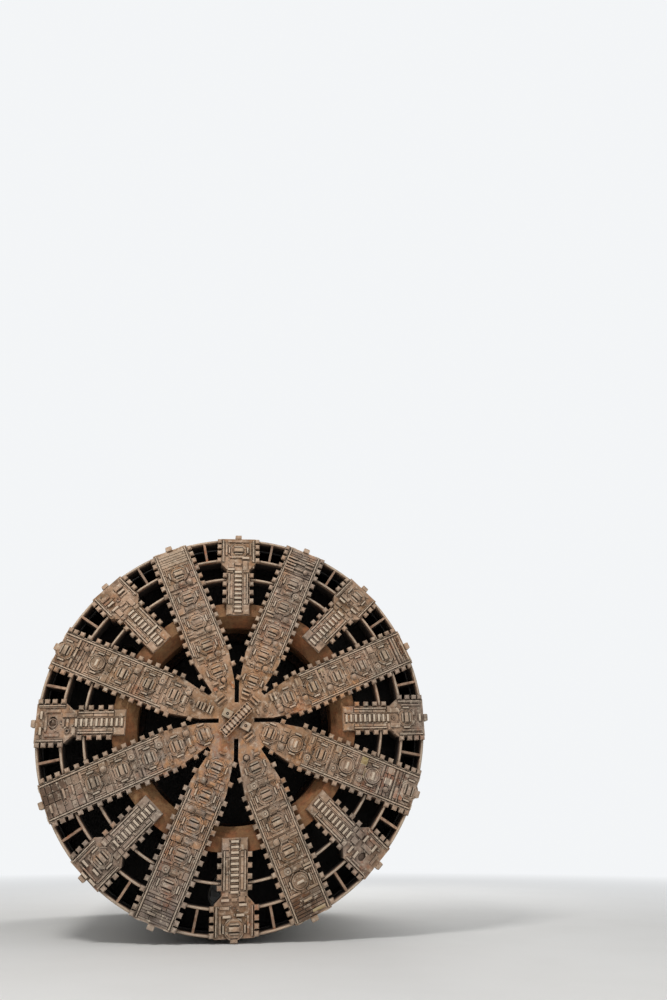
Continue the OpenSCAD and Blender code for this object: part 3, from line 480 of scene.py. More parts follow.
def rust_finish(name, base, low, rust, share=0.5, depth=None):
    """Rusty steel under soil, with painted shade in its hollows; with two depths, its colour darkens to the
    mud colour from the first depth to the second.
    """
    c = colours()
    f = Finish(name)
    colour = f.mix(f.steps(f.cloud(0.5, 5.0), 0.40, 0.62), base, low)
    colour = f.mix(f.steps(f.cloud(1.3, 7.0, 0.7), 0.62 - share * 0.2, 0.68, 0.8), colour, rust)
    colour = f.clouded(colour, c.deep_rust, (6.0, 6.0, 0.72), (0.45, 0.66, 0.7))
    # painted shade: near-black in hollows and corners
    colour = f.mix(f.hollow_shade(0.35, 0.25, 0.85, 0.85), colour, shade("1E1712"))
    if depth:
        colour = f.mix(f.steps(f.depth(), *depth, 0.95), colour, c.mud)
    return f.done(colour, rough=0.85, grain=((2.5, 0.02), (12.0, 0.01)))


def paint_finish(name, base, wear=0.3, rough=0.5, streak=(1, 1, 0.25)):
    """Paint with dust, run marks and chips down to rust."""
    c = colours()
    f = Finish(name)
    grime = f.cloud(1.1, 6.0, 0.65, streak)
    colour = f.mix(f.steps(grime, 0.42, 0.72, 0.55), base, tuple(v * 0.55 for v in base))
    colour = f.clouded(colour, c.dust, (0.45, 4.0), (0.48, 0.7, 0.4))
    chips = f.math("MULTIPLY", f.steps(f.cloud(14.0, 7.0, 0.75), 0.63 - wear * 0.1, 0.66),
                   f.steps(f.cloud(1.7, 4.0), 0.45, 0.6))
    colour = f.mix(chips, colour, c.rust)
    # painted shade in corners
    colour = f.mix(f.hollow_shade(0.2, 0.3, 0.9, 0.65), colour, CORNER_SHADE)
    rough = f.math("ADD", rough, f.steps(grime, 0.4, 0.7, 0.25))
    return f.done(colour, rough=rough, grain=((24.0, 0.002),))


def bulkhead_finish():
    """Mud on the chamber's side, paint behind."""
    c = colours()
    f = Finish("bulkhead")
    edge = f.math("GREATER_THAN", f.math("ADD", f.depth(), f.math("MULTIPLY", f.cloud(3.0), 0.02)), 3.62)
    colour = f.mix(f.steps(f.cloud(0.5, 5.0), 0.48, 0.68, 0.5), c.paint, c.dust)
    colour = f.mix(edge, c.mud, colour)
    chips = f.math("MULTIPLY", f.steps(f.cloud(11.0, 7.0, 0.75), 0.58, 0.64),
                   f.steps(f.cloud(1.1, 4.0), 0.5, 0.62))
    colour = f.mix(chips, colour, c.deep_rust)
    # painted shade in corners
    colour = f.mix(f.hollow_shade(0.25, 0.3, 0.9, 0.6), colour, CORNER_SHADE)
    return f.done(colour, rough=0.7, grain=((3.0, 0.02), (10.0, 0.004)))


def hull_finish():
    """Scraped, soiled plates outside; mud in the chamber and paint behind it inside."""
    c = colours()
    f = Finish("hull plates")
    inside = f.mix(f.steps(f.cloud(1.2, 6.0, 0.65, (1, 1, 0.3)), 0.45, 0.72, 0.4), c.paint, c.dust)
    inside = f.mix(f.steps(f.depth(), 3.45, 3.60), c.mud, inside)
    outside = f.mix(f.steps(f.cloud(0.45, 5.0, 0.6), 0.44, 0.62, 0.7), c.hull, shade("A0978A"))
    scrapes = f.cloud(5.0, 6.0, 0.6, (1, 0.08, 1))
    outside = f.mix(f.steps(scrapes, 0.54, 0.72, 0.4), outside, shade("B9B2A8"))
    outside = f.mix(f.steps(scrapes, 0.46, 0.30, 0.35), outside, c.stain)
    rust = f.math("MULTIPLY", f.steps(f.cloud(0.7, 6.0, 0.62), 0.52, 0.62),
                  f.steps(f.cloud(6.0, 6.0, 0.7, (1, 0.3, 1)), 0.42, 0.6))
    outside = f.mix(f.math("MULTIPLY", rust, 0.6), outside, shade("74503A"))
    front = f.math("SUBTRACT", 2.6, f.math("ADD", f.depth(), f.math("MULTIPLY", f.cloud(0.8, 5.0), 1.6)))
    outside = f.mix(f.steps(front, -0.5, 0.9, 0.85), outside, c.stain)
    edge = f.math("GREATER_THAN", f.math("ADD", f.radius(), f.math("MULTIPLY", f.cloud(3.0), 0.004)), 8.585)
    colour = f.mix(edge, inside, outside)
    # painted shade in corners
    colour = f.mix(f.hollow_shade(0.25, 0.3, 0.9, 0.6), colour, CORNER_SHADE)
    return f.done(colour, rough=0.62, grain=((1.0, 0.006), (12.0, 0.005)))


def metal_finish(name, base, rough=0.25, metal=1.0, dirt=0.35):
    """Bare or plated metal with smears."""
    f = Finish(name)
    smear = f.cloud(2.4, 6.0, 0.6, (1, 0.3, 1))
    colour = f.mix(f.steps(smear, 0.45, 0.75, dirt), base, shade("4A3C30"))
    rough = f.math("ADD", rough, f.steps(smear, 0.4, 0.7, 0.3))
    return f.done(colour, rough=rough, metal=metal, grain=((40.0, 0.0005),))


def tread_finish(name, base):
    """Chequer plate: raised tears in two crossed directions."""
    f = Finish(name)
    node = f.add("ShaderNodeTexVoronoi", feature="F1", distance="CHEBYCHEV")
    node.inputs["Scale"].default_value = 16.0
    node.inputs["Randomness"].default_value = 0.0
    turn = f.add("ShaderNodeMapping")
    turn.inputs["Rotation"].default_value = (0, 0, math.radians(45))
    turn.inputs["Scale"].default_value = (1, 2.2, 1)
    f.links.new(f.where, turn.inputs["Vector"])
    f.links.new(turn.outputs["Vector"], node.inputs["Vector"])
    lugs = f.steps(node.outputs["Distance"], 0.42, 0.2)
    colour = f.mix(f.steps(f.cloud(0.9, 5.0), 0.4, 0.7, 0.6), base, colours().dust)
    colour = f.mix(f.math("MULTIPLY", lugs, 0.35), colour, shade("C9C6BF"))
    material = f.done(colour, rough=0.6)
    bump = f.add("ShaderNodeBump")
    bump.inputs["Strength"].default_value = 0.5
    bump.inputs["Distance"].default_value = 0.006
    f.links.new(lugs, bump.inputs["Height"])
    f.links.new(bump.outputs["Normal"], f.shader.inputs["Normal"])
    return material


def brush_finish(name):
    """Steel wire packed with grease: fine streaks round the tail."""
    f = Finish(name)
    wires = f.cloud(60.0, 3.0, 0.6, (1, 0.08, 1))
    colour = f.mix(f.steps(wires, 0.4, 0.62), shade("2A2622"), shade("8A8073"))
    return f.done(colour, rough=0.6, metal=0.4, grain=((60.0, 0.012),))


FINISHES = {}


def make_finishes():
    """Fills FINISHES, which pieces and nodes name their finish from."""
    c = colours()
    FINISHES.update(
        orange_soil=face_finish("orange soil", shade("A8643A"), 0.1, 0.9),
        face=face_finish("dusty face steel", c.steel),
        plates=face_finish("dusty wear plates", shade("957A5F"), 0.6, 0.5),
        outer=face_finish("browned wear plates", shade("5E432C"), 0.1, 0.9),
        teeth=face_finish("rubbed teeth", shade("AA927A"), 0.8, 0.15, 0.8, 0.6),
        bars=face_finish("rubbed bars", shade("B59C80"), 0.5, 0.2, 0.8, 0.8),
        soil=face_finish("packed soil", shade("7A6148"), 0.4, 0.4, 0.7),
        stain=face_finish("yellow soil", shade("A38B4E"), 0.1, 0.1),
        pads=face_finish("greenish pads", shade("837A63"), 0.1, 0.2, 0.9, 0.3),
        centre=face_finish("rusty centre cutter", shade("B5794F"), 0.1, 0.9),
        rings=rust_finish("ring steel", shade("8A7461"), c.dust, c.rust, 0.35, (0.16, 0.42)),
        support=rust_finish("support ring soil", c.support, shade("93704A"), c.rust, 0.75),
        chamber=rust_finish("chamber mud", c.mud, shade("2A2119"), shade("3E2C1D"), 0.2),
        bulkhead=bulkhead_finish(),
        hull=hull_finish(),
        paint=paint_finish("white paint", c.paint),
        dark=paint_finish("dark paint", c.dark, 0.5),
        yellow=paint_finish("yellow paint", c.yellow, 0.4),
        orange=paint_finish("orange paint", c.orange, 0.4),
        blue=paint_finish("motor paint", shade("2F5D86"), 0.3),
        rods=metal_finish("jack rods", shade("C9CCCE"), 0.15),
        zinc=metal_finish("zinc fittings", shade("9EA09F"), 0.4, 0.9),
        brass=metal_finish("brass fittings", shade("B28A44"), 0.3),
        rubber=paint_finish("rubber hose", shade("1B1C1D"), 0.0, 0.65),
        shoes=rust_finish("thrust shoes", shade("7B7167"), shade("8D8377"), c.rust, 0.3),
        deck=tread_finish("chequer plate", shade("7E817F")),
        brushes=brush_finish("tail brushes"),
        lamp=metal_finish("lamp glass", shade("E9E7DA"), 0.2, 0.0, 0.1),
    )


NODE_FINISHES = {
    "face": ["main_spoke_%d" % i for i in range(1, 9)] + ["hub", "sub_spokes"],
    "rings": ["rim", "outer_ring", "inner_ring", "rim_struts"],
    "support": ["support_webs", "support_drum"],
    "chamber": ["fixed_bars", "drum_legs", "rotor", "mixing_bars"],
    "bulkhead": ["bulkhead"],
    "hull": ["front_skin", "middle_skin", "tail_skin"],
    "paint": ["front_frames", "gear_housing", "man_lock_left", "man_lock_right", "screw_casing",
              "casing_flanges",
              "outlet_box", "girder_front", "girder_tube", "girder_rear", "steer_clevises",
              "roller_brackets"],
    "dark": ["drive_motors", "lock_door_left", "lock_door_right", "outlet_gate", "screw_drive",
             "steer_cylinders",
             "jack_barrels", "rotary_joint"],
    "rods": ["thrust_top", "thrust_right", "thrust_bottom", "thrust_left"],
    "zinc": ["screw_auger"],
    "brushes": ["tail_brushes"],
    "yellow": ["erector_ring", "towing_beams"],
    "orange": ["erector_beam", "grip_head"],
    "deck": ["work_decks"],
}


def dress_nodes():
    """Gives each CAD node its finish."""
    for finish, names in NODE_FINISHES.items():
        for name in names:
            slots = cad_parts[name].data.materials
            slots.clear()
            slots.append(FINISHES[finish])


# ---------------------------------------------------------------- the face

SPOKE_TOP = 8.49      # outer end of the plates and strips on a main spoke
PLATE_HALF = 0.655    # half width that the plates near the rim cover
SEAT_HALF = 0.485     # half width that a housing takes
BIT_X, BIT_DROP = 0.34, 0.54    # place of the round bit inwards of each housing
HUB_EDGE = (0.539, 1.563)       # half width and distance from the axis where a main spoke's taper ends
STRIP_START = 3.35    # inner end of the hard strips
LUMPS = 900


def face_piece(bm, name, finish, chamfer=0.0, segments=1):
    """A piece of weathered steel that turns with the cutterhead."""
    finish_piece(bm, name, "cutterhead", finish, chamfer, segments)


def tooth_row(first):
    """Distances of a main spoke's side teeth from the axis: an even row, then three near the rim."""
    outer = (7.67, 8.01, 8.33) if 3.0 < first < 3.3 else (7.86, 8.17, 8.42)
    row = []
    z = first
    while z <= 7.6001:
        row.append(z)
        z += sizes().tooth_pitch
    return row + list(outer)


def spoke_edge(z):
    """Half width of a main spoke at a distance from the axis."""
    s = sizes()
    if z >= s.taper_z:
        return s.spoke_half
    low_x, low_z = HUB_EDGE
    return low_x + (s.spoke_half - low_x) * (z - low_z) / (s.taper_z - low_z)


def spoke_housings(row):
    """Distances of a main spoke's evenly spaced housings from the axis."""
    pitch = sizes().housing_pitch
    return [row.last_housing - i * pitch for i in range(row.housings)]


def split_row(bm, place, rng, x0, x1, z0, z1, shares, low=0.03, high=0.065):
    """A row of plates side by side; shares are their widths."""
    seam = sizes().seam
    total = sum(shares)
    x = x0
    for share in shares:
        step = (x1 - x0) * share / total
        plate(bm, place, x + seam / 2, x + step - seam / 2, z0 + seam / 2, z1 - seam / 2,
              rng.uniform(low, high))
        x += step


def spoke_plates(bm, row, rng, outer):
    """The wear plates of one main spoke, laid round its housings."""
    place = on_spoke(row.angle)
    housings = spoke_housings(row)
    for z in housings:
        half = min(0.665, spoke_edge(z - 0.5) - 0.15)
        if z < 1.9:
            continue
        for side in (-1, 1):
            if half > 0.56:
                for step, width in enumerate((0.5, 0.5)):
                    inner = sorted(rng.uniform(z - 0.2, z + 0.2) for _ in range(2 - step))
                    cuts = [z - 0.38, *inner, z + 0.36]
                    a = side * (SEAT_HALF + (half - SEAT_HALF) * 0.5 * step)
                    b = side * (SEAT_HALF + (half - SEAT_HALF) * (0.5 * step + width))
                    for z0, z1 in zip(cuts, cuts[1:]):
                        if z1 - z0 > 0.09:
                            split_row(bm, place, rng, min(a, b), max(a, b), z0, z1, (1,))
        split_row(bm, place, rng, -half, half, z + 0.335, z + 0.46,
                  rng.choice(((1, 1), (2, 1, 2), (1, 3, 1))))
        if z > 2.4:
            split_row(bm, place, rng, -half, half, z - 0.70, z - 0.39,
                      rng.choice(((3, 4, 5), (2, 2, 3, 4), (4, 3, 4))))
    z = housings[0] + 0.48
    limit = row.rim_housing - 0.36 if row.rim_housing else SPOKE_TOP
    while z < limit - 0.06:
        h = min(rng.choice((0.24, 0.30) if row.angle == 247.5 else (0.10, 0.13, 0.16)), limit - z)
        shares = rng.choice(((1, 1, 1), (2, 1), (1, 2, 1), (3, 2, 2), (1, 3)))
        if row.angle == 337.5:
            split_row(bm, place, rng, -PLATE_HALF, PLATE_HALF, z, z + h, (1,), 0.020, 0.024)
        else:
            split_row(outer, place, rng, -PLATE_HALF, PLATE_HALF, z, z + h, shares, 0.02,
                      rng.choice((0.04, 0.09)))
        z += h
    if row.rim_housing:
        for side in (-1, 1):
            a, b = sorted((side * SEAT_HALF, side * PLATE_HALF))
            split_row(outer, place, rng, a, b, row.rim_housing - 0.33, SPOKE_TOP, (1,))


def face_plates():
    """Wear plates on the main spokes."""
    rng = random.Random(11)
    plates, outer = bmesh.new(), bmesh.new()
    for row in MAIN_SPOKES:
        spoke_plates(plates, row, rng, outer)
    face_piece(plates, "spoke_plates", "plates", chamfer=0.008)
    face_piece(outer, "spoke_end_plates", "outer", chamfer=0.01)


def face_teeth():
    """Hard caps on the side teeth and on the gauge teeth at the rim."""
    caps = bmesh.new()
    rng = random.Random(5)

    def cap(place, side, x, z):
        size = (rng.uniform(0.13, 0.15), 0.05, rng.uniform(0.155, 0.175))
        block(caps, place, (side * (x + 0.088), -0.118, z + rng.uniform(-0.008, 0.008)), size)

    for row in MAIN_SPOKES:
        place = on_spoke(row.angle)
        for side in (-1, 1):
            for z in tooth_row(row.first_tooth) + list(row.inner_teeth):
                cap(place, side, spoke_edge(z), z)
        block(caps, place, (0, 0.17, 8.64), (0.30, 0.42, 0.15))
        for x in (-0.62, 0.62):
            block(caps, place, (x, 0.12, 8.545), (0.22, 0.26, 0.05))
    for row in SUB_SPOKES:
        place = on_spoke(row.angle)
        for side in (-1, 1):
            for i in range(4):
                cap(place, side, sizes().stem_half, row.stem_tooth + i * (sizes().tooth_pitch + 0.005))
            for z in row.head_teeth:
                cap(place, side, sizes().spoke_half, z)
        block(caps, place, (0, 0.17, 8.64), (0.30, 0.42, 0.15))
    face_piece(caps, "tooth_caps", "teeth", chamfer=0.014, segments=2)


def face_strips():
    """Hard strips in short lengths on the long wear bars."""
    strips = bmesh.new()
    rng = random.Random(3)

    def run(place, x, z0, z1, w, base):
        z = z0
        while z < z1 - 0.08:
            step = min(rng.choice((0.24, 0.30, 0.36)), z1 - z)
            plate(strips, place, x - w / 2, x + w / 2, z + 0.004, z + step - 0.004,
                  rng.uniform(0.012, 0.022), base=base)
            z += step

    for row in MAIN_SPOKES:
        for side in (-1, 1):
            run(on_spoke(row.angle), side * 0.705, STRIP_START, SPOKE_TOP, 0.052, 0.06)
            run(on_spoke(row.angle), side * 0.79, STRIP_START, SPOKE_TOP, 0.034, 0.03)
    for row in SUB_SPOKES:
        for side in (-1, 1):
            run(on_spoke(row.angle), side * 0.43, 5.31, 6.79, 0.052, 0.06)
            run(on_spoke(row.angle), side * 0.73, 7.38, 8.46, 0.052, 0.06)
    face_piece(strips, "hard_strips", "plates", chamfer=0.006)


def dome(bm, place, x, z, r=0.128):
    """A round-nosed bit."""
    foot = place @ Matrix.Translation((x, -0.125, z))
    bmesh.ops.create_uvsphere(bm, u_segments=20, v_segments=10, radius=1,
                              matrix=foot @ Matrix.Diagonal((r, 0.13, r, 1)))


def ringed_bit(bm, place, x, z):
    """A round bit with a raised rim."""
    hoop(bm, place, (x, -0.155, z), 0.072, 0.126, 0.055, 24)
    stud(bm, place, (x, -0.17, z), 0.068, 0.05, 0.04, 16)
    hoop(bm, place, (x, 0.0, z), 0.118, 0.155, 0.05, 24)


def housing_parts(place, z, caps, seats, bolts, has_cutter, is_round):
    """A cutter in its housing: cutter, lips, side bars, rounded corners, packed soil and bolts."""
    middle = place @ Matrix.Translation((0, 0, z))
    if has_cutter and not is_round:
        block(caps, middle, (0, -0.15, 0), (0.405, 0.10, 0.165))
        for side in (-1, 1):
            block(seats, middle, (0, -0.085, side * 0.176), (0.375, 0.055, 0.072))
            block(seats, middle, (side * 0.232, -0.05, 0), (0.065, 0.12, 0.20))
    if is_round:
        hoop(seats, middle, (0, 0, 0), 0.285, 0.345, 0.135, 28)
        stud(seats, middle, (0, -0.06, 0), 0.29, 0.27, 0.13, 28)
        block(caps, middle, (0, -0.15, 0.02), (0.30, 0.05, 0.10))
    for side in (-1, 1):
        block(seats, middle, (side * 0.435, -0.07, 0), (0.072, 0.105, 0.285))
        for up in (-1, 1):
            corner = middle @ turned(up * 45 if side > 0 else 180 - up * 45)
            spun(seats, corner @ turned(-24), [(0.375, 0), (0.425, 0), (0.425, -0.075), (0.375, -0.075)], 6,
                 math.radians(48))
            stud(bolts, middle, (side * 0.315, -0.068, up * 0.10), 0.022, 0.022, 0.03, 6)
    stud(seats, middle @ Matrix.Diagonal((1, 1, 0.86, 1)), (0, -0.018, 0), 0.29, 0.26, 0.05, 24)


def face_housings():
    """Cutters in their housings, with the round bits between them."""
    caps, seats, bolts, bits = bmesh.new(), bmesh.new(), bmesh.new(), bmesh.new()
    shade_rings = bmesh.new()
    rng = random.Random(21)
    for row in MAIN_SPOKES:
        place = on_spoke(row.angle)
        for i, z in enumerate(spoke_housings(row)):
            is_round = any(row.angle == a and abs(z - b) < 0.1 for a, b in ROUND_HOUSINGS)
            housing_parts(place, z, caps, seats, bolts, i != row.missing, is_round)
            if z > 2.5:
                if rng.random() < 0.4:
                    ringed_bit(bits, place, BIT_X, z - BIT_DROP)
                else:
                    dome(bits, place, BIT_X, z - BIT_DROP)
                # painted shade: a thin dark ring laid round the bit's foot
                hoop(shade_rings, place, (BIT_X, 0, z - BIT_DROP), 0.118, 0.165, 0.012, 24)
                block(seats, place, (-0.08, -0.09, z - BIT_DROP), (0.36, 0.06, 0.10))
        if row.rim_housing:
            housing_parts(place, row.rim_housing, caps, seats, bolts, True, False)
    for row in SUB_SPOKES:
        if row.housing:
            housing_parts(on_spoke(row.angle), row.housing, caps, seats, bolts, True, False)
    for angle, x, z in LONE_DOMES:
        dome(bits, on_spoke(angle), x, z, 0.115)
        # painted shade: a thin dark ring laid round the bit's foot
        hoop(shade_rings, on_spoke(angle), (x, 0, z), 0.10, 0.15, 0.012, 24)
    face_piece(caps, "cutters", "bars", chamfer=0.03, segments=2)
    face_piece(seats, "housing_seats", "soil", chamfer=0.008)
    face_piece(bolts, "housing_bolts", "outer")
    face_piece(bits, "round_bits", "teeth")
    face_piece(shade_rings, "bit_shade_rings", "chamber")


def spoke_marks():
    """Loose bars, small rings and patches that differ from spoke to spoke."""
    bars, rings = bmesh.new(), bmesh.new()
    rng = random.Random(8)
    for angle, spots, eyes in SPOKE_MARKS:
        place = on_spoke(angle)
        for x, z, w in spots:
            high, wide = (rng.uniform(0.11, 0.15), 0.085) if w < 1 else (0.06, 0.07)
            block(bars, place, (x, -high / 2 + 0.005, z), (w, high + 0.01, wide))
        for x, z in eyes:
            hoop(rings, place, (x, 0, z), 0.04, 0.085, 0.065, 20)
            stud(rings, place, (x, -0.02, z), 0.036, 0.03, 0.04, 12)
    face_piece(bars, "loose_bars", "bars", chamfer=0.012, segments=2)
    face_piece(rings, "small_rings", "outer")
    for finish in sorted({row[5] for row in PATCHES}):
        bm = bmesh.new()
        for angle, x, z, w, h, kind in PATCHES:
            if kind == finish:
                plate(bm, on_spoke(angle), x - w / 2, x + w / 2, z - h / 2, z + h / 2,
                      rng.uniform(0.05, 0.07))
        face_piece(bm, "patches_" + finish, finish, chamfer=0.008)


def face_lumps():
    """Lumps of dried soil caught on the face."""
    bm = bmesh.new()
    rng = random.Random(33)
    for _ in range(LUMPS):
        row = rng.choice(MAIN_SPOKES + SUB_SPOKES)
        is_main = isinstance(row, MainSpoke)
        z = rng.uniform(1.3 if is_main else 4.95, 8.45)
        half = spoke_edge(z) if is_main else (0.42 if z < 7.1 else 0.78)
        size = Vector((rng.uniform(0.02, 0.06), rng.uniform(0.012, 0.035), rng.uniform(0.02, 0.06)))
        spot = Matrix.Translation((rng.uniform(-half, half) * 0.93, -0.028, z))
        turn = turned(rng.uniform(0, 180)) @ Matrix.Diagonal((*size, 1))
        bmesh.ops.create_icosphere(bm, subdivisions=1, radius=1, matrix=on_spoke(row.angle) @ spot @ turn)
    face_piece(bm, "soil_lumps", "soil")


def sub_spoke_plates():
    """Plates, bars and small rings on the sub-spokes."""
    plates, bars, rings = bmesh.new(), bmesh.new(), bmesh.new()
    rng = random.Random(17)
    for row, (_, head) in zip(SUB_SPOKES, HEAD_PLATES):
        place = on_spoke(row.angle)
        for side in (-1, 1):
            for z0, z1 in ((5.30, 5.55), (5.55, 6.17), (6.17, 6.78)):
                a, b = sorted((side * 0.24, side * 0.385))
                split_row(plates, place, rng, a, b, z0, z1, (1,))
            a, b = sorted((side * 0.23, side * 0.53))
            split_row(plates, place, rng, a, b, 4.81, 5.29, (1,))
            a, b = sorted((side * 0.23, side * 0.52))
            split_row(plates, place, rng, a, b, 6.84, 7.03, (1,))
            a, b = sorted((side * 0.63, side * 0.69))
            split_row(plates, place, rng, a, b, 7.36, 8.46, (1,))
        for x, z, w, h in head:
            high = rng.uniform(0.045, 0.085)
            plate(plates, place, x - w / 2, x + w / 2, z - h / 2, z + h / 2, high)
        z = 4.95
        while z < 6.95:
            plate(bars, place, -0.155, 0.155, z - 0.043, z + 0.043, 0.02, base=0.088)
            if z < 6.8:
                plate(plates, place, -0.15, 0.15, z + 0.066, z + 0.146, rng.uniform(0.03, 0.06))
            z += 0.212
        for x, z in row.bars:
            plate(bars, place, x - 0.155, x + 0.155, z - 0.043, z + 0.043, 0.02, base=0.10)
        for x, z in row.rings:
            hoop(rings, place, (x, 0, z), 0.045, 0.095, 0.07, 20)
            stud(rings, place, (x, -0.02, z), 0.04, 0.035, 0.05, 12)
    hoop(rings, on_spoke(225), (0, -0.02, 6.70), 0.045, 0.095, 0.09, 20)
    hoop(rings, on_spoke(270), (-0.34, 0, 7.22), 0.05, 0.10, 0.07, 20)
    frame_ring = on_spoke(270) @ Matrix.Translation((0, 0, 7.83)) @ Matrix.Diagonal((1, 1, 0.58, 1))
    spun(rings, frame_ring, [(0.27, 0.01), (0.325, 0.01), (0.325, -0.05), (0.27, -0.05)], 32)
    face_piece(plates, "sub_spoke_plates", "plates", chamfer=0.009)
    face_piece(bars, "sub_spoke_bars", "bars", chamfer=0.012, segments=2)
    face_piece(rings, "sub_spoke_rings", "outer")


def centre_cutter():
    """Fishtail at the hub: side rails, teeth in a row, and thin dark plates as painted shade in the open
    pockets beside them.
    """
    teeth, rails, pocket_shades, bars, pads = (bmesh.new() for _ in range(5))
    place = on_spoke(45)
    for i in range(-4, 5):
        block(teeth, place, (0, -0.356, i * 0.175), (0.228, 0.086, 0.122))
        if i < 4:
            block(teeth, place, (0, -0.335, (i + 0.5) * 0.175), (0.20, 0.08, 0.034))
    for i in range(-4, 6):
        for side in (-1, 1):
            # painted shade: thin dark plates for the black of the open pockets
            block(pocket_shades, place, (side * 0.152, -0.334, (i - 0.5) * 0.175), (0.072, 0.016, 0.088))
            block(rails, place, (side * 0.155, -0.345, i * 0.175 - 0.175), (0.09, 0.05, 0.055))
    for side in (-1, 1):
        block(rails, place, (side * 0.207, -0.25, 0), (0.034, 0.24, 1.67))
        block(rails, place, (0, -0.25, side * 0.82), (0.43, 0.22, 0.045))
    for x, z, w in ((0.80, 0.84, 0.40), (-0.70, 0.90, 0.44), (-1.30, -0.58, 0.40), (0.55, -0.71, 0.44)):
        spot = on_spoke(0) @ Matrix.Translation((x, 0, z)) @ turned(math.degrees(math.atan2(x, z)))
        for step in (-0.085, 0.085):
            block(bars, spot, (0, -0.06, step), (w, 0.15, 0.085))
        block(rails, spot, (0, -0.02, 0), (w + 0.08, 0.06, 0.34))
    blocks = on_spoke(-63)
    for side in (-1, 1):
        block(pads, blocks, (side * 0.06, -0.22, side * 0.48), (0.35, 0.06, 0.44))
        # painted shade: a thin dark ring on each pad
        hoop(pocket_shades, blocks, (side * 0.06, -0.245, side * 0.48), 0.03, 0.065, 0.018, 20)
    face_piece(teeth, "fishtail_teeth", "centre", chamfer=0.012, segments=2)
    face_piece(rails, "fishtail_rails", "plates", chamfer=0.008)
    face_piece(bars, "centre_bars", "bars", chamfer=0.014, segments=2)
    face_piece(pads, "fishtail_pads", "pads", chamfer=0.014, segments=2)
    face_piece(pocket_shades, "fishtail_pocket_shades", "chamber")


def ring_fittings():
    """Hard edges on the rings and ribs behind the support ring."""
    edges, ribs = bmesh.new(), bmesh.new()
    s = sizes()
    for r, sub_half in ((8.44, s.spoke_half), (7.47, s.spoke_half), (6.51, s.stem_half)):
        from_main = math.degrees(math.asin(s.spoke_half / r)) + 0.3
        from_sub = math.degrees(math.asin(sub_half / r)) + 0.3
        sweep = 22.5 - from_main - from_sub
        section = [(r + 0.01, 0.075), (r + 0.09, 0.075), (r + 0.07, 0.045), (r + 0.03, 0.045)]
        for i in range(8):
            for start in (45 * i + from_sub, 45 * i - from_sub - sweep):
                spun(edges, on_spoke(start), section, 8, math.radians(sweep))
    for i in range(16):
        place = on_spoke(22.5 * i + 11.25)
        block(ribs, place, (0, 0.75, 4.62), (0.05, 0.5, 0.42))
    finish_shape(edges, "ring_edges", "cutterhead", "bars")
    finish_piece(ribs, "support_ribs", "cutterhead", "support", chamfer=0.01)


# ---------------------------------------------------------------- the shield

GUSSET_ANGLES = (0, 20, 38, 76, 96, 116, 136, 156, 204, 224, 244, 264, 284, 322, 340)
MOTOR_R, MOTOR_GAP = 4.35, ((170, 190),)    # the screw conveyor passes through the gap
FRONT_R, MIDDLE_R, TAIL_R = 8.66, 8.65, 8.64    # outer radii of the skins
LOCK_AXIS = (5.379, 3.7503, 3.56)    # front end of the right man lock
SCREW_START, SCREW_SLOPE = (0, 3.5003, -7.1), math.radians(22)
DECK_FRONT, DECK_BACK = 8.36, 10.46    # the railings' y
LADDER_X, LADDER_Y = (3.18, 3.62), 10.60
TOWING_X, TOWING_Z = 2.3, 0.6
DECKS = ((3.6, 5.3), (0.3, 6.9), (-3.3, 6.1))    # height and half width
QUARTERS = ("top", "right", "bottom", "left")
JACK_STEP, JACK_HALF, JACK_R = 360 / 28, 2.55, 8.12    # angle between pairs, half angle of a pair, radius


def on_screw():
    """The screw conveyor's axis as local Y, from the bulkhead back."""
    return Matrix.Translation(SCREW_START) @ Matrix.Rotation(SCREW_SLOPE, 4, "X")


def at_lock(side):
    """A man lock's axis as local Y, from its front end back."""
    x, y, z = LOCK_AXIS
    return Matrix.Translation((side * x, y, z))


def around(count, first=0.0, gaps=()):
    """Places turned round an axis, without those whose angles fall in a gap."""
    angles = [(first + 360 / count * i) % 360 for i in range(count)]
    return [turned(a) for a in angles if not any(low < a < high for low, high in gaps)]


def bolt_ring(bm, place, r, y, high, count, size, first=0.0, gaps=()):
    """Bolt heads on a flange, standing backwards, or forwards with a negative height."""
    for spot in around(count, first, gaps):
        stud(bm, place @ spot, (0, y + high / 2, r), size, size, abs(high), 6)


def ring_pipe(bm, place, y, r, thick, first=0.0, angle=math.tau, steps=72, sides=8):
    """A pipe bent into a ring, or into part of one."""
    turns = [math.tau * i / sides for i in range(sides)]
    section = [(r + thick * math.cos(a), y + thick * math.sin(a)) for a in turns]
    spun(bm, place @ turned(first), section, steps, angle)


def collar(bm, place, r_in, r_out, y0, y1, steps=24):
    """A ring about the local Y axis."""
    spun(bm, place, [(r_in, y0), (r_out, y0), (r_out, y1), (r_in, y1)], steps)


def run(bm, place, points, r, segments=8):
    """A pipe through some points of a place."""
    pipe(bm, [place @ Vector(p) for p in points], r, segments)


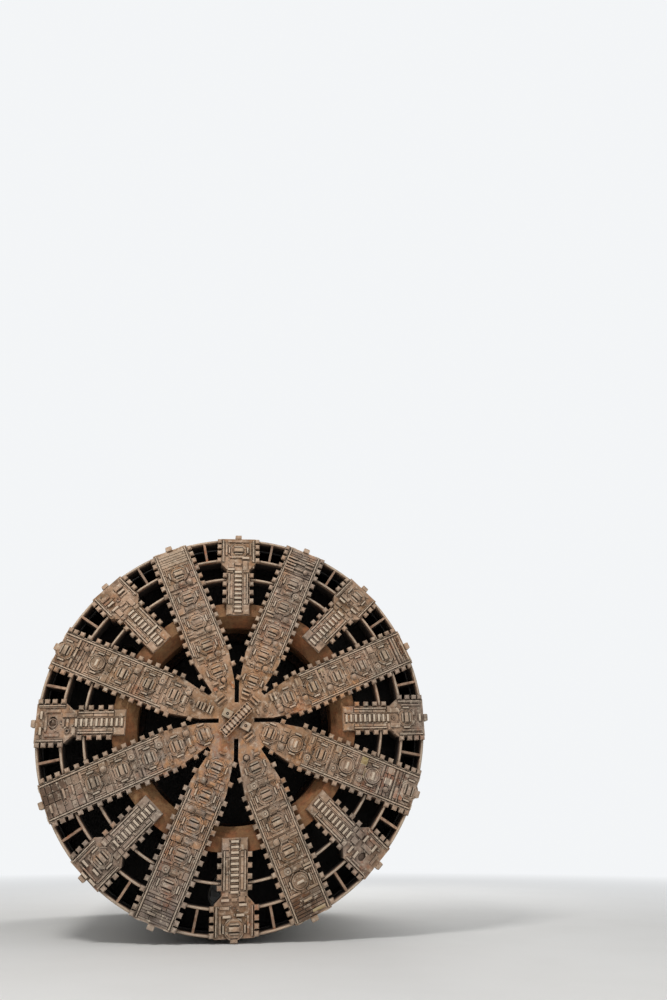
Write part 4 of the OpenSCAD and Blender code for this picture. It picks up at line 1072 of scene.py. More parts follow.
def hull_lines():
    """Weld seams, grouting plugs and hard-faced edges on the skins."""
    for name, body, r, rings, ends in (
        ("front_seams", "shield", FRONT_R, (1.62, 3.62, 5.75), (1.3, 7.84)),
        ("middle_seams", "rear_shield", MIDDLE_R, (8.35, 9.8), (8.02, 11.18)),
        ("tail_seams", "rear_shield", TAIL_R, (11.22, 13.2, 14.9), (11.22, 16.18)),
    ):
        bm = bmesh.new()
        for y in rings:
            ring_pipe(bm, Matrix(), y, r, 0.012, steps=96, sides=6)
        marks = (ends[0], *rings, ends[1])
        for i, (y0, y1) in enumerate(zip(marks, marks[1:])):
            for spot in around(8, 12 + 22.5 * (i % 2)):
                block(bm, spot, (0, (y0 + y1) / 2, r), (0.022, y1 - y0, 0.016))
        finish_shape(bm, name, body, "hull")
    for name, body, r, rows in (
        ("front_plugs", "shield", FRONT_R, (2.4, 4.7, 6.9)),
        ("rear_plugs", "rear_shield", MIDDLE_R, (8.9, 10.6)),
        ("tail_plugs", "rear_shield", TAIL_R, (11.8, 14.2)),
    ):
        bm = bmesh.new()
        for i, y in enumerate(rows):
            for spot in around(16, 6 + 11.25 * (i % 2)):
                rod_in(bm, spot, (0, y, r - 0.02), (0, y, r + 0.012), 0.075, 16)
                rod_in(bm, spot, (0, y, r), (0, y, r + 0.03), 0.028, 6)
        finish_shape(bm, name, body, "dark")
    bm = bmesh.new()
    for i, spot in enumerate(around(120)):
        block(bm, spot, (0, 1.45 + 0.04 * (i % 3), 8.662), (0.05, 0.26, 0.024))
    finish_piece(bm, "edge_strips", "shield", "plates", chamfer=0.006)


def frame_details():
    """Gussets, stringers, bolts and lamps behind the bulkhead."""
    bm = bmesh.new()
    for angle in GUSSET_ANGLES:
        block(bm, turned(angle), (0, 4.47, 6.54), (0.07, 1.42, 2.44))
    for spot in around(24, 7.5):
        block(bm, spot, (0, 5.94, 8.38), (0.06, 1.30, 0.30))
        block(bm, spot, (0, 5.94, 8.22), (0.22, 1.30, 0.05))
    finish_piece(bm, "gussets", "shield", "paint", chamfer=0.008)
    bm = bmesh.new()
    bolt_ring(bm, Matrix(), 5.225, 5.2, 0.05, 90, 0.034, gaps=MOTOR_GAP)
    bolt_ring(bm, Matrix(), 3.42, 5.2, 0.05, 60, 0.034)
    bolt_ring(bm, Matrix(), 4.98, 5.7, 0.05, 72, 0.03, gaps=((172, 188),))
    bolt_ring(bm, Matrix(), 1.13, 4.05, 0.06, 30, 0.035)
    bolt_ring(bm, Matrix(), 0.66, 5.45, 0.05, 20, 0.03)
    bolt_ring(bm, Matrix(), 7.9, 6.68, 0.03, 120, 0.028)
    finish_shape(bm, "gear_bolts", "shield", "zinc")
    bm, pads = bmesh.new(), bmesh.new()
    for spot in around(8, 11.25):
        block(bm, spot, (0, 6.74, 8.05), (0.62, 0.12, 0.12))
        block(pads, spot, (0, 6.80, 8.05), (0.56, 0.03, 0.08))
    finish_piece(bm, "front_lamp_cases", "shield", "dark", chamfer=0.012)
    finish_piece(pads, "front_lamps", "shield", "lamp", chamfer=0.008)
    bm = bmesh.new()
    for angle in (12, 100, 118, 242, 260, 348):
        run(bm, turned(angle), [(0, 6.3, 0.3), (0, 7.62, 0.3), (0, 7.62, 7.95), (0, 6.66, 7.95)], 0.06, 12)
        for r in (2.2, 4.35, 6.4):
            rod_in(bm, turned(angle), (0, 7.62, r - 0.03), (0, 7.62, r + 0.03), 0.11, 12)
        collar(bm, turned(angle) @ Matrix.Translation((0, 0, 7.95)), 0.055, 0.12, 6.68, 6.71)
    finish_shape(bm, "service_pipes", "shield", "zinc")


def drive_details():
    """Flanges, fins, boxes and hoses of the drive motors."""
    cases, fins, bolts, hoses = (bmesh.new() for _ in range(4))
    for spot in around(24, gaps=MOTOR_GAP):
        motor = spot @ Matrix.Translation((0, 0, MOTOR_R))
        collar(cases, motor, 0.42, 0.52, 5.702, 5.77)
        collar(cases, motor, 0.42, 0.46, 6.36, 6.44)
        bolt_ring(bolts, motor, 0.475, 5.77, 0.035, 12, 0.024)
        bolt_ring(bolts, motor, 0.37, 6.42, 0.03, 8, 0.02)
        for i in range(7):
            collar(fins, motor, 0.32, 0.365, 6.52 + 0.09 * i, 6.55 + 0.09 * i, 20)
        stud(fins, motor, (0, 7.34, 0), 0.25, 0.29, 0.09, 20)
        block(cases, motor, (0, 6.78, 0.42), (0.26, 0.36, 0.16))
        run(hoses, motor, [(-0.08, 6.9, 0.49), (-0.08, 6.9, 0.66), (-0.08, 7.0, 0.72)], 0.022)
        run(hoses, motor, [(0.08, 6.7, 0.49), (0.08, 6.7, 0.58), (0.08, 6.86, 0.62)], 0.022)
        run(hoses, motor, [(0.1, 7.36, 0), (0.1, 7.46, 0), (0.1, 7.46, 0.62), (0.1, 7.02, 0.62)], 0.026)
    finish_piece(cases, "motor_flanges", "shield", "blue", chamfer=0.006)
    finish_shape(fins, "motor_fins", "shield", "blue")
    finish_shape(bolts, "motor_bolts", "shield", "zinc")
    finish_shape(hoses, "motor_hoses", "shield", "rubber")
    bm = bmesh.new()
    for y, r, thick in ((6.86, 4.97, 0.05), (7.0, 5.07, 0.05), (7.02, 4.97, 0.035)):
        ring_pipe(bm, Matrix(), y, r, thick, 192, math.radians(336), 96)
    for spot in around(12, 15):
        block(bm, spot, (0, 6.40, 5.06), (0.05, 1.42, 0.05))
        block(bm, spot, (0, 6.94, 5.0), (0.05, 0.34, 0.05))
    finish_shape(bm, "motor_mains", "shield", "zinc")


def lock_details():
    """Ribs, valves and platforms of the man locks, and their doors' fittings."""
    ribs, valves, decks, rails = (bmesh.new() for _ in range(4))
    for side, name in ((-1, "left"), (1, "right")):
        lock = at_lock(side)
        for y in (0.35, 1.1, 1.85, 2.6, 3.2):
            collar(ribs, lock, 0.84, 0.91, y, y + 0.05, 40)
        block(ribs, lock, (0, 1.6, -0.93), (0.9, 1.9, 0.12))
        for x in (-0.3, 0.0, 0.3):
            z = math.sqrt(0.85 ** 2 - x * x)
            run(valves, lock, [(x, 2.2, z - 0.03), (x, 2.2, z + 0.16), (x, 2.9, z + 0.16),
                               (x, 2.9, z - 0.03)], 0.028)
            stud(valves, lock, (x, 3.36, -0.72 if x else 0.72), 0.07, 0.06, 0.12, 16)
            ring_pipe(valves, lock @ Matrix.Translation((x, 0, z + 0.16)), 2.55, 0.09, 0.012, steps=16,
                      sides=6)
        block(decks, lock, (0, 3.36, -0.98), (1.5, 0.9, 0.06))
        for x in (-0.6, 0.6):
            block(ribs, lock, (x, 3.1, -0.9), (0.06, 0.42, 0.14))
            rod_in(rails, lock, (1.18 * x, 3.76, -0.96), (1.18 * x, 3.76, -0.5), 0.02, 8)
        fittings = bmesh.new()
        ring_pipe(fittings, lock, 3.53, 0.17, 0.016, steps=24)
        rod_in(fittings, lock, (0, 3.37, 0), (0, 3.54, 0), 0.03, 12)
        for turn in (0, 60, 120):
            rod_in(fittings, lock @ turned(turn), (0, 3.53, -0.17), (0, 3.53, 0.17), 0.012, 8)
        collar(fittings, lock @ Matrix.Translation((0, 0, 0.36)), 0.07, 0.11, 3.37, 3.40)
        bolt_ring(fittings, lock @ Matrix.Translation((0, 0, 0.36)), 0.09, 3.40, 0.012, 8, 0.012)
        for x, z in ((-0.3, 0.5), (0.3, 0.5), (-0.3, -0.5), (0.3, -0.5)):
            block(fittings, lock, (x, 3.40, z), (0.14, 0.06, 0.09))
        finish_shape(fittings, "door_fittings_" + name, "door_" + name, "zinc")
    finish_piece(ribs, "lock_ribs", "shield", "paint", chamfer=0.006)
    finish_shape(valves, "lock_valves", "shield", "brass")
    finish_piece(decks, "lock_platforms", "shield", "deck", chamfer=0.006)
    finish_shape(rails, "lock_posts", "shield", "yellow")


def screw_details():
    """Bolts, hatches, nozzles and the gate's cylinder on the screw conveyor."""
    place = on_screw()
    bolts, hatches, pipes, fins = (bmesh.new() for _ in range(4))
    for y in (3.0, 6.2, 9.4, 12.6, 15.88):
        bolt_ring(bolts, place, 0.848, y, -0.035, 32, 0.022)
        bolt_ring(bolts, place, 0.848, y + 0.12, 0.035, 32, 0.022)
    bolt_ring(bolts, place, 0.69, 16.45, 0.03, 24, 0.024)
    for y in (4.4, 7.6, 10.8):
        for turn in (-40, 40):
            cover = place @ turned(turn)
            block(hatches, cover, (0, y, 0.80), (0.62, 0.82, 0.09))
            block(hatches, cover, (0, y, 0.855), (0.5, 0.7, 0.04))
            for x in (-0.27, 0.27):
                for step in range(5):
                    rod_in(bolts, cover, (x, y - 0.34 + 0.17 * step, 0.84),
                           (x, y - 0.34 + 0.17 * step, 0.862), 0.018, 6)
        for turn in (0, 90, 270):
            nozzle = place @ turned(turn)
            rod_in(pipes, nozzle, (0, y + 0.9, 0.79), (0, y + 0.9, 0.93), 0.035, 12)
            rod_in(pipes, nozzle, (0, y + 0.84, 0.9), (0, y + 1.0, 0.9), 0.02, 8)
    run(pipes, place, [(0.0, 5.3, 0.9), (0.0, 11.7, 0.9)], 0.022)
    block(hatches, place, (0, 15.2, 0.86), (0.5, 0.36, 0.16))
    hoses = bmesh.new()
    for turn in (45, 135, 225, 315):
        motor = place @ turned(turn) @ Matrix.Translation((0, 0, 0.43))
        for i in range(6):
            collar(fins, motor, 0.205, 0.235, 16.62 + 0.075 * i, 16.645 + 0.075 * i, 20)
        collar(fins, motor, 0.2, 0.27, 16.452, 16.5)
        bolt_ring(bolts, motor, 0.24, 16.5, 0.025, 8, 0.014)
        stud(fins, motor, (0, 17.145, 0), 0.13, 0.17, 0.03, 20)
        block(fins, motor, (0, 16.95, 0.22), (0.16, 0.14, 0.1))
    for x in (-0.32, -0.16, 0.16, 0.32):
        z = 0.43 * math.sqrt(0.5) + 0.26
        run(hoses, place, [(x, 16.95, z), (x, 16.95, 1.02), (x, 15.2, 1.02), (x * 0.5, 15.2, 0.92)], 0.024)
    finish_shape(bolts, "screw_bolts", "shield", "zinc")
    finish_piece(hatches, "screw_hatches", "shield", "paint", chamfer=0.01)
    finish_shape(pipes, "screw_nozzles", "shield", "brass")
    finish_shape(fins, "screw_motor_fins", "shield", "blue")
    finish_shape(hoses, "screw_hoses", "shield", "rubber")
    barrel, rods = bmesh.new(), bmesh.new()
    axis = place @ Matrix.Translation((0, 0, -1.19))
    collar(barrel, axis, 0.062, 0.09, 11.15, 12.6)
    collar(barrel, axis, 0.062, 0.12, 12.52, 12.6)
    block(barrel, place, (0, 11.3, -0.96), (0.2, 0.2, 0.36))
    block(barrel, place, (0, 12.45, -0.96), (0.2, 0.12, 0.36))
    rod_in(rods, axis, (0, 12.4, 0), (0, 14.1, 0), 0.05, 16)
    for x in (-0.4, 0.0, 0.4):
        block(rods, place, (x, 14.7, -1.24), (0.06, 1.1, 0.012))
    finish_shape(barrel, "gate_cylinder", "shield", "dark")
    finish_shape(rods, "gate_rod", "gate", "rods")


def jack_details():
    """Bolts, glands, hoses and valve blocks of the thrust jacks, and pads on their shoes."""
    bolts, glands, hoses, mains, blocks = (bmesh.new() for _ in range(5))
    for k in range(28):
        middle = turned(k * JACK_STEP)
        for side in (-1, 1):
            jack = middle @ turned(side * JACK_HALF) @ Matrix.Translation((0, 0, JACK_R))
            bolt_ring(bolts, jack, 0.296, 10.68, 0.03, 10, 0.02)
            collar(glands, jack, 0.25, 0.30, 10.84, 10.88, 20)
            run(hoses, jack, [(0, 10.78, -0.26), (0, 10.78, -0.42), (-side * 0.08, 10.72, -0.5)], 0.03)
        spot = turned((k + 0.5) * JACK_STEP)
        block(blocks, spot, (0, 10.72, 7.46), (0.30, 0.18, 0.34))
        for x in (-0.09, 0.09):
            rod_in(bolts, spot, (x, 10.76, 7.38), (x, 10.93, 7.38), 0.045, 12)
            rod_in(bolts, spot, (x, 10.76, 7.54), (x, 10.88, 7.54), 0.035, 6)
    for r, y in ((7.34, 10.70), (7.46, 10.70), (7.58, 10.72)):
        ring_pipe(mains, Matrix(), y, r, 0.038, steps=112)
    for spot in around(56):
        block(mains, spot, (0, 10.65, 7.46), (0.06, 0.07, 0.34))
    finish_shape(bolts, "jack_bolts", "rear_shield", "zinc")
    finish_shape(glands, "jack_glands", "rear_shield", "blue")
    finish_shape(hoses, "jack_hoses", "rear_shield", "rubber")
    finish_shape(mains, "jack_mains", "rear_shield", "zinc")
    finish_piece(blocks, "valve_blocks", "rear_shield", "blue", chamfer=0.01)
    for q, name in enumerate(QUARTERS):
        pads, clamps = bmesh.new(), bmesh.new()
        for k in range(q * 7 - 3, q * 7 + 4):
            shoe = turned(k * JACK_STEP) @ Matrix.Translation((0, 0, JACK_R + 0.06))
            for x in (-0.38, 0.38):
                block(pads, shoe, (x, 11.185, 0), (0.7, 0.03, 0.36))
            block(clamps, shoe, (0, 11.06, -0.245), (1.1, 0.12, 0.03))
            for x in (-0.7, -0.04, 0.04, 0.7):
                for z in (-0.14, 0.14):
                    stud(clamps, shoe, (x, 11.18, z), 0.02, 0.02, 0.03, 6)
            for side in (-1, 1):
                rod_end = turned(k * JACK_STEP + side * JACK_HALF) @ Matrix.Translation((0, 0, JACK_R))
                collar(clamps, rod_end, 0.17, 0.225, 10.92, 10.952, 20)
        finish_piece(pads, "shoe_pads_" + name, "jacks_" + name, "rubber", chamfer=0.008)
        finish_shape(clamps, "shoe_clamps_" + name, "jacks_" + name, "zinc")


def railing(bm, start, end):
    """Posts and two rails between two points of a deck."""
    up = Vector((0, 0, bpy.context.scene.shield_sizes.rail_h))
    start, end = Vector(start), Vector(end)
    count = max(1, round((end - start).length))
    for i in range(count + 1):
        foot = start.lerp(end, i / count)
        rod(bm, foot, foot + up, 0.024, 8)
    for share in (0.5, 1.0):
        rod(bm, start + up * share, end + up * share, 0.022, 8)


def cabinet(cases, doors, fittings, corner, size, side):
    """A cabinet with doors towards the middle and a vent to the back."""
    x, y, z = corner
    deep, wide, high = size
    block(cases, Matrix(), (x + side * deep / 2, y + wide / 2, z + high / 2 + 0.04),
          (deep, wide, high - 0.08))
    block(cases, Matrix(), (x + side * deep / 2, y + wide / 2, z + 0.03), (deep - 0.08, wide - 0.08, 0.07))
    count = max(1, round(wide / 0.7))
    for i in range(count):
        middle = y + wide * (i + 0.5) / count
        block(doors, Matrix(), (x - side * 0.012, middle, z + high / 2 + 0.04),
              (0.03, wide / count - 0.05, high - 0.2))
        block(fittings, Matrix(), (x - side * 0.04, middle + 0.2, z + high / 2), (0.03, 0.03, 0.2))
    block(doors, Matrix(), (x + side * deep / 2, y + wide + 0.01, z + high / 2),
          (deep - 0.12, 0.03, high - 0.3))
    for i in range(6):
        block(fittings, Matrix(), (x + side * deep / 2, y + wide + 0.03, z + high * 0.6 + 0.05 * i),
              (deep * 0.5, 0.02, 0.02))


def deck_details():
    """Railings, ladders, cabinets, a pump set and lamps on the work decks."""
    rails, cases, doors, fittings, pumps, lamps, boxes = (bmesh.new() for _ in range(7))
    for z, end in DECKS:
        first = 2.62 if z == 0.3 else 1.94
        for side in (-1, 1):
            railing(rails, (side * 1.94, DECK_FRONT, z), (side * 1.94, DECK_BACK, z))
            railing(rails, (side * first, DECK_FRONT, z), (side * end, DECK_FRONT, z))
            railing(rails, (side * first, DECK_BACK, z), (side * 3.08, DECK_BACK, z))
            railing(rails, (side * 3.74, DECK_BACK, z), (side * end, DECK_BACK, z))
            block(rails, Matrix(), (side * 3.2, 10.55, z - 0.1), (0.05, 0.12, 0.08))
            block(rails, Matrix(), (side * 3.6, 10.55, z - 0.1), (0.05, 0.12, 0.08))
            x = side * (end - 1.0)
            block(boxes, Matrix(), (x, 9.4, z - 0.30), (1.2, 0.14, 0.10))
            block(lamps, Matrix(), (x, 9.4, z - 0.36), (1.1, 0.09, 0.03))
            for y in (8.9, 9.9):
                block(boxes, Matrix(), (side * (1.9 + end) / 2, y, z - 0.32), (end - 2.1, 0.12, 0.14))
    for side in (-1, 1):
        for x in LADDER_X:
            rod(rails, (side * x, LADDER_Y, -3.3), (side * x, LADDER_Y, 4.6), 0.026, 8)
        for step in range(26):
            z = -3.1 + 0.3 * step
            rod(rails, (side * LADDER_X[0], LADDER_Y, z), (side * LADDER_X[1], LADDER_Y, z), 0.014, 8)
    for side, corner, size in (
        (1, (5.5, 8.6, 0.3), (0.8, 1.5, 1.9)), (-1, (-5.5, 8.6, 0.3), (0.8, 1.5, 1.9)),
        (1, (4.5, 8.6, -3.3), (0.7, 1.5, 1.7)), (-1, (-3.9, 8.7, 3.6), (0.7, 1.4, 1.6)),
        (1, (3.9, 8.7, 3.6), (0.7, 0.9, 1.5)),
    ):
        cabinet(cases, doors, fittings, corner, size, side)
    block(pumps, Matrix(), (-4.6, 9.3, -2.85), (1.1, 1.6, 0.86))
    for x in (-4.85, -4.35):
        stud(pumps, Matrix(), (x, 9.2, -2.22), 0.2, 0.2, 0.7, 24)
        stud(pumps, Matrix(), (x, 9.64, -2.22), 0.12, 0.12, 0.2, 20)
        for i in range(6):
            collar(pumps, Matrix.Translation((x, 0, -2.22)), 0.19, 0.225, 8.92 + 0.1 * i, 8.94 + 0.1 * i, 20)
        pipe(fittings, [(x, 9.74, -2.22), (x, 9.95, -2.22), (x, 9.95, -2.6), (x, 10.05, -3.28)], 0.03, 10)
    finish_shape(rails, "deck_rails", "rear_shield", "yellow")
    finish_piece(cases, "cabinets", "rear_shield", "paint", chamfer=0.008)
    finish_piece(doors, "cabinet_doors", "rear_shield", "hull", chamfer=0.006)
    finish_shape(fittings, "cabinet_fittings", "rear_shield", "zinc")
    finish_piece(pumps, "pump_set", "rear_shield", "blue", chamfer=0.006)
    finish_piece(boxes, "lamp_cases", "rear_shield", "dark", chamfer=0.008)
    finish_piece(lamps, "deck_lamps", "rear_shield", "lamp", chamfer=0.006)


def erector_details():
    """Gear rim, drives, columns' fittings, stiffeners and pads of the segment erector."""
    teeth, bolts, ribs, drives, weights = (bmesh.new() for _ in range(5))
    for spot in around(180):
        block(teeth, spot, (0, 11.9, 5.17), (0.09, 0.3, 0.1))
    bolt_ring(bolts, Matrix(), 5.9, 12.1, 0.035, 96, 0.03)
    bolt_ring(bolts, Matrix(), 5.3, 12.1, 0.035, 96, 0.03, gaps=((148, 163), (197, 212)))
    for spot in around(8, 22.5):
        for x in (-0.12, 0.12):
            block(ribs, spot, (x, 11.0, 6.55), (0.03, 0.7, 0.7))
        block(ribs, spot, (0, 11.5, 6.35), (0.5, 0.05, 0.9))
        for z in (7.02, 7.12):
            for x in (-0.1, 0.1):
                stud(drives, spot, (x, 12.13, z), 0.025, 0.025, 0.03, 6)
        roller = spot @ Matrix.Translation((0, 0, 6.185))
        collar(drives, roller, 0.05, 0.12, 12.0, 12.03)
    for turn in (22.5, 112.5, 247.5, 337.5):
        drive = turned(turn) @ Matrix.Translation((0, 0, 4.92))
        block(ribs, turned(turn), (0, 11.55, 5.28), (0.34, 0.12, 1.1))
        stud(drives, drive, (0, 11.27, 0), 0.2, 0.2, 0.44, 24)
        stud(drives, drive, (0, 11.0, 0), 0.14, 0.16, 0.12, 20)
        stud(drives, drive, (0, 11.82, 0), 0.13, 0.13, 0.42, 20)
        for spot in around(14):
            block(drives, drive @ spot, (0, 11.86, 0.135), (0.03, 0.3, 0.04))
    for side in (-1, 1):
        column = Matrix.Translation((side * 2.4, 12.55, -6.1)) @ Matrix.Rotation(-math.pi / 2, 4, "X")
        collar(weights, column, 0.275, 0.36, -0.08, 0.0, 32)
        bolt_ring(bolts, column, 0.32, -0.08, 0.1, 16, 0.02)
        for x in (-0.22, 0.0, 0.22):
            block(weights, Matrix(), (side * 2.4 + x, 12.3, -5.72), (0.04, 0.4, 0.5))
    for x in (-0.9, -0.3, 0.3, 0.9):
        block(weights, Matrix(), (x, 12.28, 5.6), (0.5, 0.36, 0.62))
    finish_shape(teeth, "gear_rim", "erector_ring", "zinc")
    finish_shape(bolts, "erector_bolts", "erector_ring", "zinc")
    finish_piece(weights, "counterweights", "erector_ring", "yellow", chamfer=0.01)
    finish_piece(ribs, "bracket_ribs", "rear_shield", "paint", chamfer=0.008)
    finish_shape(drives, "erector_drives", "rear_shield", "blue")
    beam, pads = bmesh.new(), bmesh.new()
    for x in (-2.55, -2.1, -1.5, -1.05, 1.05, 1.5, 2.1, 2.55):
        block(beam, Matrix(), (x, 12.83, -6.42), (0.05, 0.08, 0.3))
    for side in (-1, 1):
        for y in (13.0, 13.6, 14.2):
            block(beam, Matrix(), (side * 0.73, y, -6.5), (0.08, 0.05, 0.18))
        stud(beam, Matrix(), (side * 0.25, 12.62, -6.18), 0.09, 0.09, 0.5, 20)
        run(beam, Matrix(), [(side * 0.25, 12.86, -6.18), (side * 0.25, 13.0, -6.18),
                             (side * 0.25, 13.0, -6.28), (side * 0.25, 12.7, -6.28)], 0.022)
    finish_piece(beam, "beam_ribs", "erector_beam", "orange", chamfer=0.006)
    for x in (-0.62, 0.62):
        for y in (12.5, 13.5):
            rod(pads, (x, y, -6.9), (x, y, -6.98), 0.2, 24)
            rod(pads, (x, y, -6.98), (x, y, -7.02), 0.16, 24)
    finish_shape(pads, "grip_pads", "grip_head", "rubber")


def tail_details():
    """Grease and grout lines inside the tail, and stiffeners on the towing beams."""
    lines, ends = bmesh.new(), bmesh.new()
    for spot in around(24, 3.2):
        block(lines, spot, (0, 12.65, 8.536), (0.2, 2.7, 0.036))
        for x in (-0.06, 0.0, 0.06):
            rod_in(ends, spot, (x, 11.05, 8.46), (x, 11.34, 8.52), 0.022, 8)
    finish_piece(lines, "line_covers", "rear_shield", "paint", chamfer=0.006)
    finish_shape(ends, "line_ends", "rear_shield", "brass")
    bm = bmesh.new()
    for side in (-1, 1):
        for y in range(11, 17):
            for x in (-0.175, 0.175):
                block(bm, Matrix(), (side * TOWING_X + x, y, TOWING_Z), (0.05, 0.03, 0.5))
        for z in (0.288, 0.912):
            block(bm, Matrix(), (side * TOWING_X, 13.9, z), (0.42, 6.5, 0.03))
    finish_piece(bm, "towing_stiffeners", "rear_shield", "yellow", chamfer=0.006)


# ---------------------------------------------------------------- stage

BACKGROUND = (0.90, 0.915, 0.93)


def set_stage():
    """Floor, sky, lights and the camera at the photo's viewpoint."""
    stage = bpy.context.scene.stage_sizes
    scene = bpy.context.scene
    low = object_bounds()[0][2]
    bm = bmesh.new()
    bmesh.ops.create_grid(bm, x_segments=1, y_segments=1, size=400)
    mesh = bpy.data.meshes.new("floor")
    bm.to_mesh(mesh)
    bm.free()
    mesh.transform(Matrix.Translation((0, 0, low)))
    floor = bpy.data.objects.new("floor", mesh)
    scene.collection.objects.link(floor)
    f = Finish("pale floor")
    speckle = f.mix(f.steps(f.cloud(0.3, 5.0), 0.4, 0.7, 0.15), stage.floor, shade("D6D3CD"))
    mesh.materials.append(f.done(speckle, rough=0.9))
    away = f.add("ShaderNodeVectorMath", operation="LENGTH")
    f.links.new(f.where, away.inputs[0])
    path = f.add("ShaderNodeLightPath")
    fade = f.math("MULTIPLY", f.steps(away.outputs["Value"], 22.0, 75.0), path.outputs["Is Camera Ray"])
    glow = f.add("ShaderNodeEmission")
    glow.inputs["Color"].default_value = (*BACKGROUND, 1)
    blend = f.add("ShaderNodeMixShader")
    f.links.new(fade, blend.inputs["Fac"])
    f.links.new(f.shader.outputs[0], blend.inputs[1])
    f.links.new(glow.outputs[0], blend.inputs[2])
    f.links.new(blend.outputs[0], f.nodes["Material Output"].inputs["Surface"])
    floor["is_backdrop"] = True

    world = bpy.data.worlds.new("soft sky")
    scene.world = world
    world.use_nodes = True
    nodes, links = world.node_tree.nodes, world.node_tree.links
    sky = nodes["Background"]
    sky.inputs["Color"].default_value = (0.93, 0.96, 1.0, 1)
    sky.inputs["Strength"].default_value = 0.45
    seen = nodes.new("ShaderNodeBackground")
    seen.inputs["Color"].default_value = (*BACKGROUND, 1)
    seen.inputs["Strength"].default_value = 1.0
    path = nodes.new("ShaderNodeLightPath")
    either = nodes.new("ShaderNodeMath")
    either.operation = "MAXIMUM"
    links.new(path.outputs["Is Camera Ray"], either.inputs[0])
    links.new(path.outputs["Is Glossy Ray"], either.inputs[1])
    blend = nodes.new("ShaderNodeMixShader")
    links.new(either.outputs[0], blend.inputs["Fac"])
    links.new(sky.outputs[0], blend.inputs[1])
    links.new(seen.outputs[0], blend.inputs[2])
    links.new(blend.outputs[0], nodes["World Output"].inputs["Surface"])

    for name, place, aim, size, power in (
        ("key", (-15, -24, 30), (0, 0, 0), 8, 9300), ("fill", (20, -34, 4), (0, 2, 0), 18, 1500),
        ("back", (10, 40, 18), (0, 10, 0), 18, 6000),
    ):
        light = bpy.data.lights.new(name, "AREA")
        light.size = size
        light.energy = power
        lamp = bpy.data.objects.new(name, light)
        lamp.location = place
        lamp.rotation_euler = (Vector(aim) - Vector(place)).to_track_quat("-Z", "Y").to_euler()
        scene.collection.objects.link(lamp)

    camera = bpy.data.cameras.new("camera")
    camera.sensor_fit = "VERTICAL"
    camera.sensor_height = 36
    camera.lens = stage.lens
    camera.clip_end = 500
    viewer = bpy.data.objects.new("camera", camera)
    viewer.location = stage.camera_place
    viewer.rotation_euler = stage.camera_turn
    scene.collection.objects.link(viewer)
    scene.camera = viewer
    scene.view_settings.view_transform = "Standard"


# ---------------------------------------------------------------- operators

class MACHINE_OT_finishes(bpy.types.Operator):
    """Makes the finishes and gives each node its own"""
    bl_idname = "machine.finishes"
    bl_label = "Finishes"

    def execute(self, context):
        make_finishes()
        dress_nodes()
        return {"FINISHED"}


class MACHINE_OT_face_plates(bpy.types.Operator):
    """Lays the wear plates on the main spokes"""
    bl_idname = "machine.face_plates"
    bl_label = "Wear plates"

    def execute(self, context):
        face_plates()
        return {"FINISHED"}


class MACHINE_OT_face_teeth(bpy.types.Operator):
    """Caps the side teeth and gauge teeth"""
    bl_idname = "machine.face_teeth"
    bl_label = "Tooth caps"

    def execute(self, context):
        face_teeth()
        return {"FINISHED"}


class MACHINE_OT_face_strips(bpy.types.Operator):
    """Lays hard strips on the long wear bars"""
    bl_idname = "machine.face_strips"
    bl_label = "Hard strips"

    def execute(self, context):
        face_strips()
        return {"FINISHED"}


class MACHINE_OT_housings(bpy.types.Operator):
    """Fills the housings and adds bits, bars, patches and soil"""
    bl_idname = "machine.housings"
    bl_label = "Cutters and bits"

    def execute(self, context):
        face_housings()
        spoke_marks()
        face_lumps()
        return {"FINISHED"}


class MACHINE_OT_sub_spokes(bpy.types.Operator):
    """Lays plates, bars and rings on the sub-spokes"""
    bl_idname = "machine.sub_spokes"
    bl_label = "Sub-spokes"

    def execute(self, context):
        sub_spoke_plates()
        return {"FINISHED"}


class MACHINE_OT_centre(bpy.types.Operator):
    """Builds up the fishtail at the hub"""
    bl_idname = "machine.centre"
    bl_label = "Centre cutter"

    def execute(self, context):
        centre_cutter()
        return {"FINISHED"}


class MACHINE_OT_rings(bpy.types.Operator):
    """Adds the rings' hard edges and the support ring's ribs"""
    bl_idname = "machine.rings"
    bl_label = "Rings"

    def execute(self, context):
        ring_fittings()
        return {"FINISHED"}


class MACHINE_OT_hull_lines(bpy.types.Operator):
    """Lays the seams, plugs and edge strips on the skins"""
    bl_idname = "machine.hull_lines"
    bl_label = "Hull seams"

    def execute(self, context):
        hull_lines()
        return {"FINISHED"}


class MACHINE_OT_frames(bpy.types.Operator):
    """Stiffens the front shield and lays its pipes"""
    bl_idname = "machine.frames"
    bl_label = "Front frames"

    def execute(self, context):
        frame_details()
        return {"FINISHED"}


class MACHINE_OT_drive(bpy.types.Operator):
    """Gives the drive motors flanges, fins and hoses"""
    bl_idname = "machine.drive"
    bl_label = "Drive motors"

    def execute(self, context):
        drive_details()
        return {"FINISHED"}


class MACHINE_OT_locks(bpy.types.Operator):
    """Fits out the man locks and their doors"""
    bl_idname = "machine.locks"
    bl_label = "Man locks"

    def execute(self, context):
        lock_details()
        return {"FINISHED"}


class MACHINE_OT_screw(bpy.types.Operator):
    """Fits out the screw conveyor and its gate"""
    bl_idname = "machine.screw"
    bl_label = "Screw conveyor"

    def execute(self, context):
        screw_details()
        return {"FINISHED"}


class MACHINE_OT_jacks(bpy.types.Operator):
    """Fits out the thrust jacks and their shoes"""
    bl_idname = "machine.jacks"
    bl_label = "Thrust jacks"

    def execute(self, context):
        jack_details()
        return {"FINISHED"}


class MACHINE_OT_decks(bpy.types.Operator):
    """Furnishes the work decks"""
    bl_idname = "machine.decks"
    bl_label = "Work decks"

    def execute(self, context):
        deck_details()
        return {"FINISHED"}


class MACHINE_OT_erector(bpy.types.Operator):
    """Fits out the segment erector"""
    bl_idname = "machine.erector"
    bl_label = "Erector"

    def execute(self, context):
        erector_details()
        return {"FINISHED"}


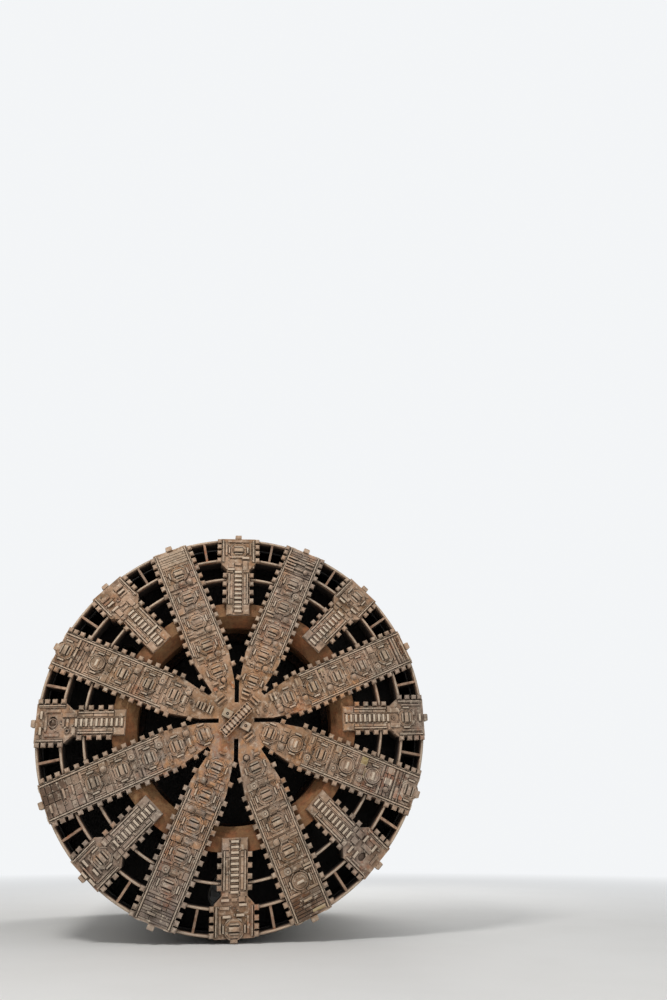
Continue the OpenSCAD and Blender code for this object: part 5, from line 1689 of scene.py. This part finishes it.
class MACHINE_OT_tail(bpy.types.Operator):
    """Lays the lines in the tail and stiffens the towing beams"""
    bl_idname = "machine.tail"
    bl_label = "Tail"

    def execute(self, context):
        tail_details()
        return {"FINISHED"}


class MACHINE_OT_stage(bpy.types.Operator):
    """Sets the floor, the light and the camera"""
    bl_idname = "machine.stage"
    bl_label = "Stage"

    def execute(self, context):
        set_stage()
        return {"FINISHED"}


OPERATORS = (
    MACHINE_OT_finishes, MACHINE_OT_face_plates, MACHINE_OT_face_teeth, MACHINE_OT_face_strips,
    MACHINE_OT_housings,
    MACHINE_OT_sub_spokes, MACHINE_OT_centre, MACHINE_OT_rings, MACHINE_OT_hull_lines,
    MACHINE_OT_frames, MACHINE_OT_drive, MACHINE_OT_locks, MACHINE_OT_screw, MACHINE_OT_jacks,
    MACHINE_OT_decks,
    MACHINE_OT_erector, MACHINE_OT_tail, MACHINE_OT_stage,
)
GROUPS = {
    "cutterhead_sizes": CutterheadSizes, "shield_sizes": ShieldSizes, "finish_colours": FinishColours,
    "stage_sizes": StageSizes,
}


class MACHINE_PT_panel(bpy.types.Panel):
    """Lists the machine's pieces and sizes"""
    bl_idname = "MACHINE_PT_panel"
    bl_label = "Tunnel machine"
    bl_space_type = "VIEW_3D"
    bl_region_type = "UI"
    bl_category = "Tunnel machine"

    def draw(self, context):
        for operator in OPERATORS:
            self.layout.operator(operator.bl_idname)
        for name, group in GROUPS.items():
            box = self.layout.box()
            for key in group.__annotations__:
                box.prop(getattr(context.scene, name), key)


def register():
    for group in GROUPS.values():
        bpy.utils.register_class(group)
    for name, group in GROUPS.items():
        setattr(bpy.types.Scene, name, bpy.props.PointerProperty(type=group))
    for operator in OPERATORS:
        bpy.utils.register_class(operator)
    bpy.utils.register_class(MACHINE_PT_panel)


def unregister():
    bpy.utils.unregister_class(MACHINE_PT_panel)
    for operator in reversed(OPERATORS):
        bpy.utils.unregister_class(operator)
    for name, group in GROUPS.items():
        delattr(bpy.types.Scene, name)
        bpy.utils.unregister_class(group)


def main():
    """Dresses the frame piece by piece, then sets the stage with the floor at its lowest point."""
    register()
    bpy.ops.machine.finishes()
    bpy.ops.machine.face_plates()
    bpy.ops.machine.face_teeth()
    bpy.ops.machine.face_strips()
    bpy.ops.machine.housings()
    bpy.ops.machine.sub_spokes()
    bpy.ops.machine.centre()
    bpy.ops.machine.rings()
    bpy.ops.machine.hull_lines()
    bpy.ops.machine.frames()
    bpy.ops.machine.drive()
    bpy.ops.machine.locks()
    bpy.ops.machine.screw()
    bpy.ops.machine.jacks()
    bpy.ops.machine.decks()
    bpy.ops.machine.erector()
    bpy.ops.machine.tail()
    bpy.ops.machine.stage()


if __name__ == "__main__":
    main()
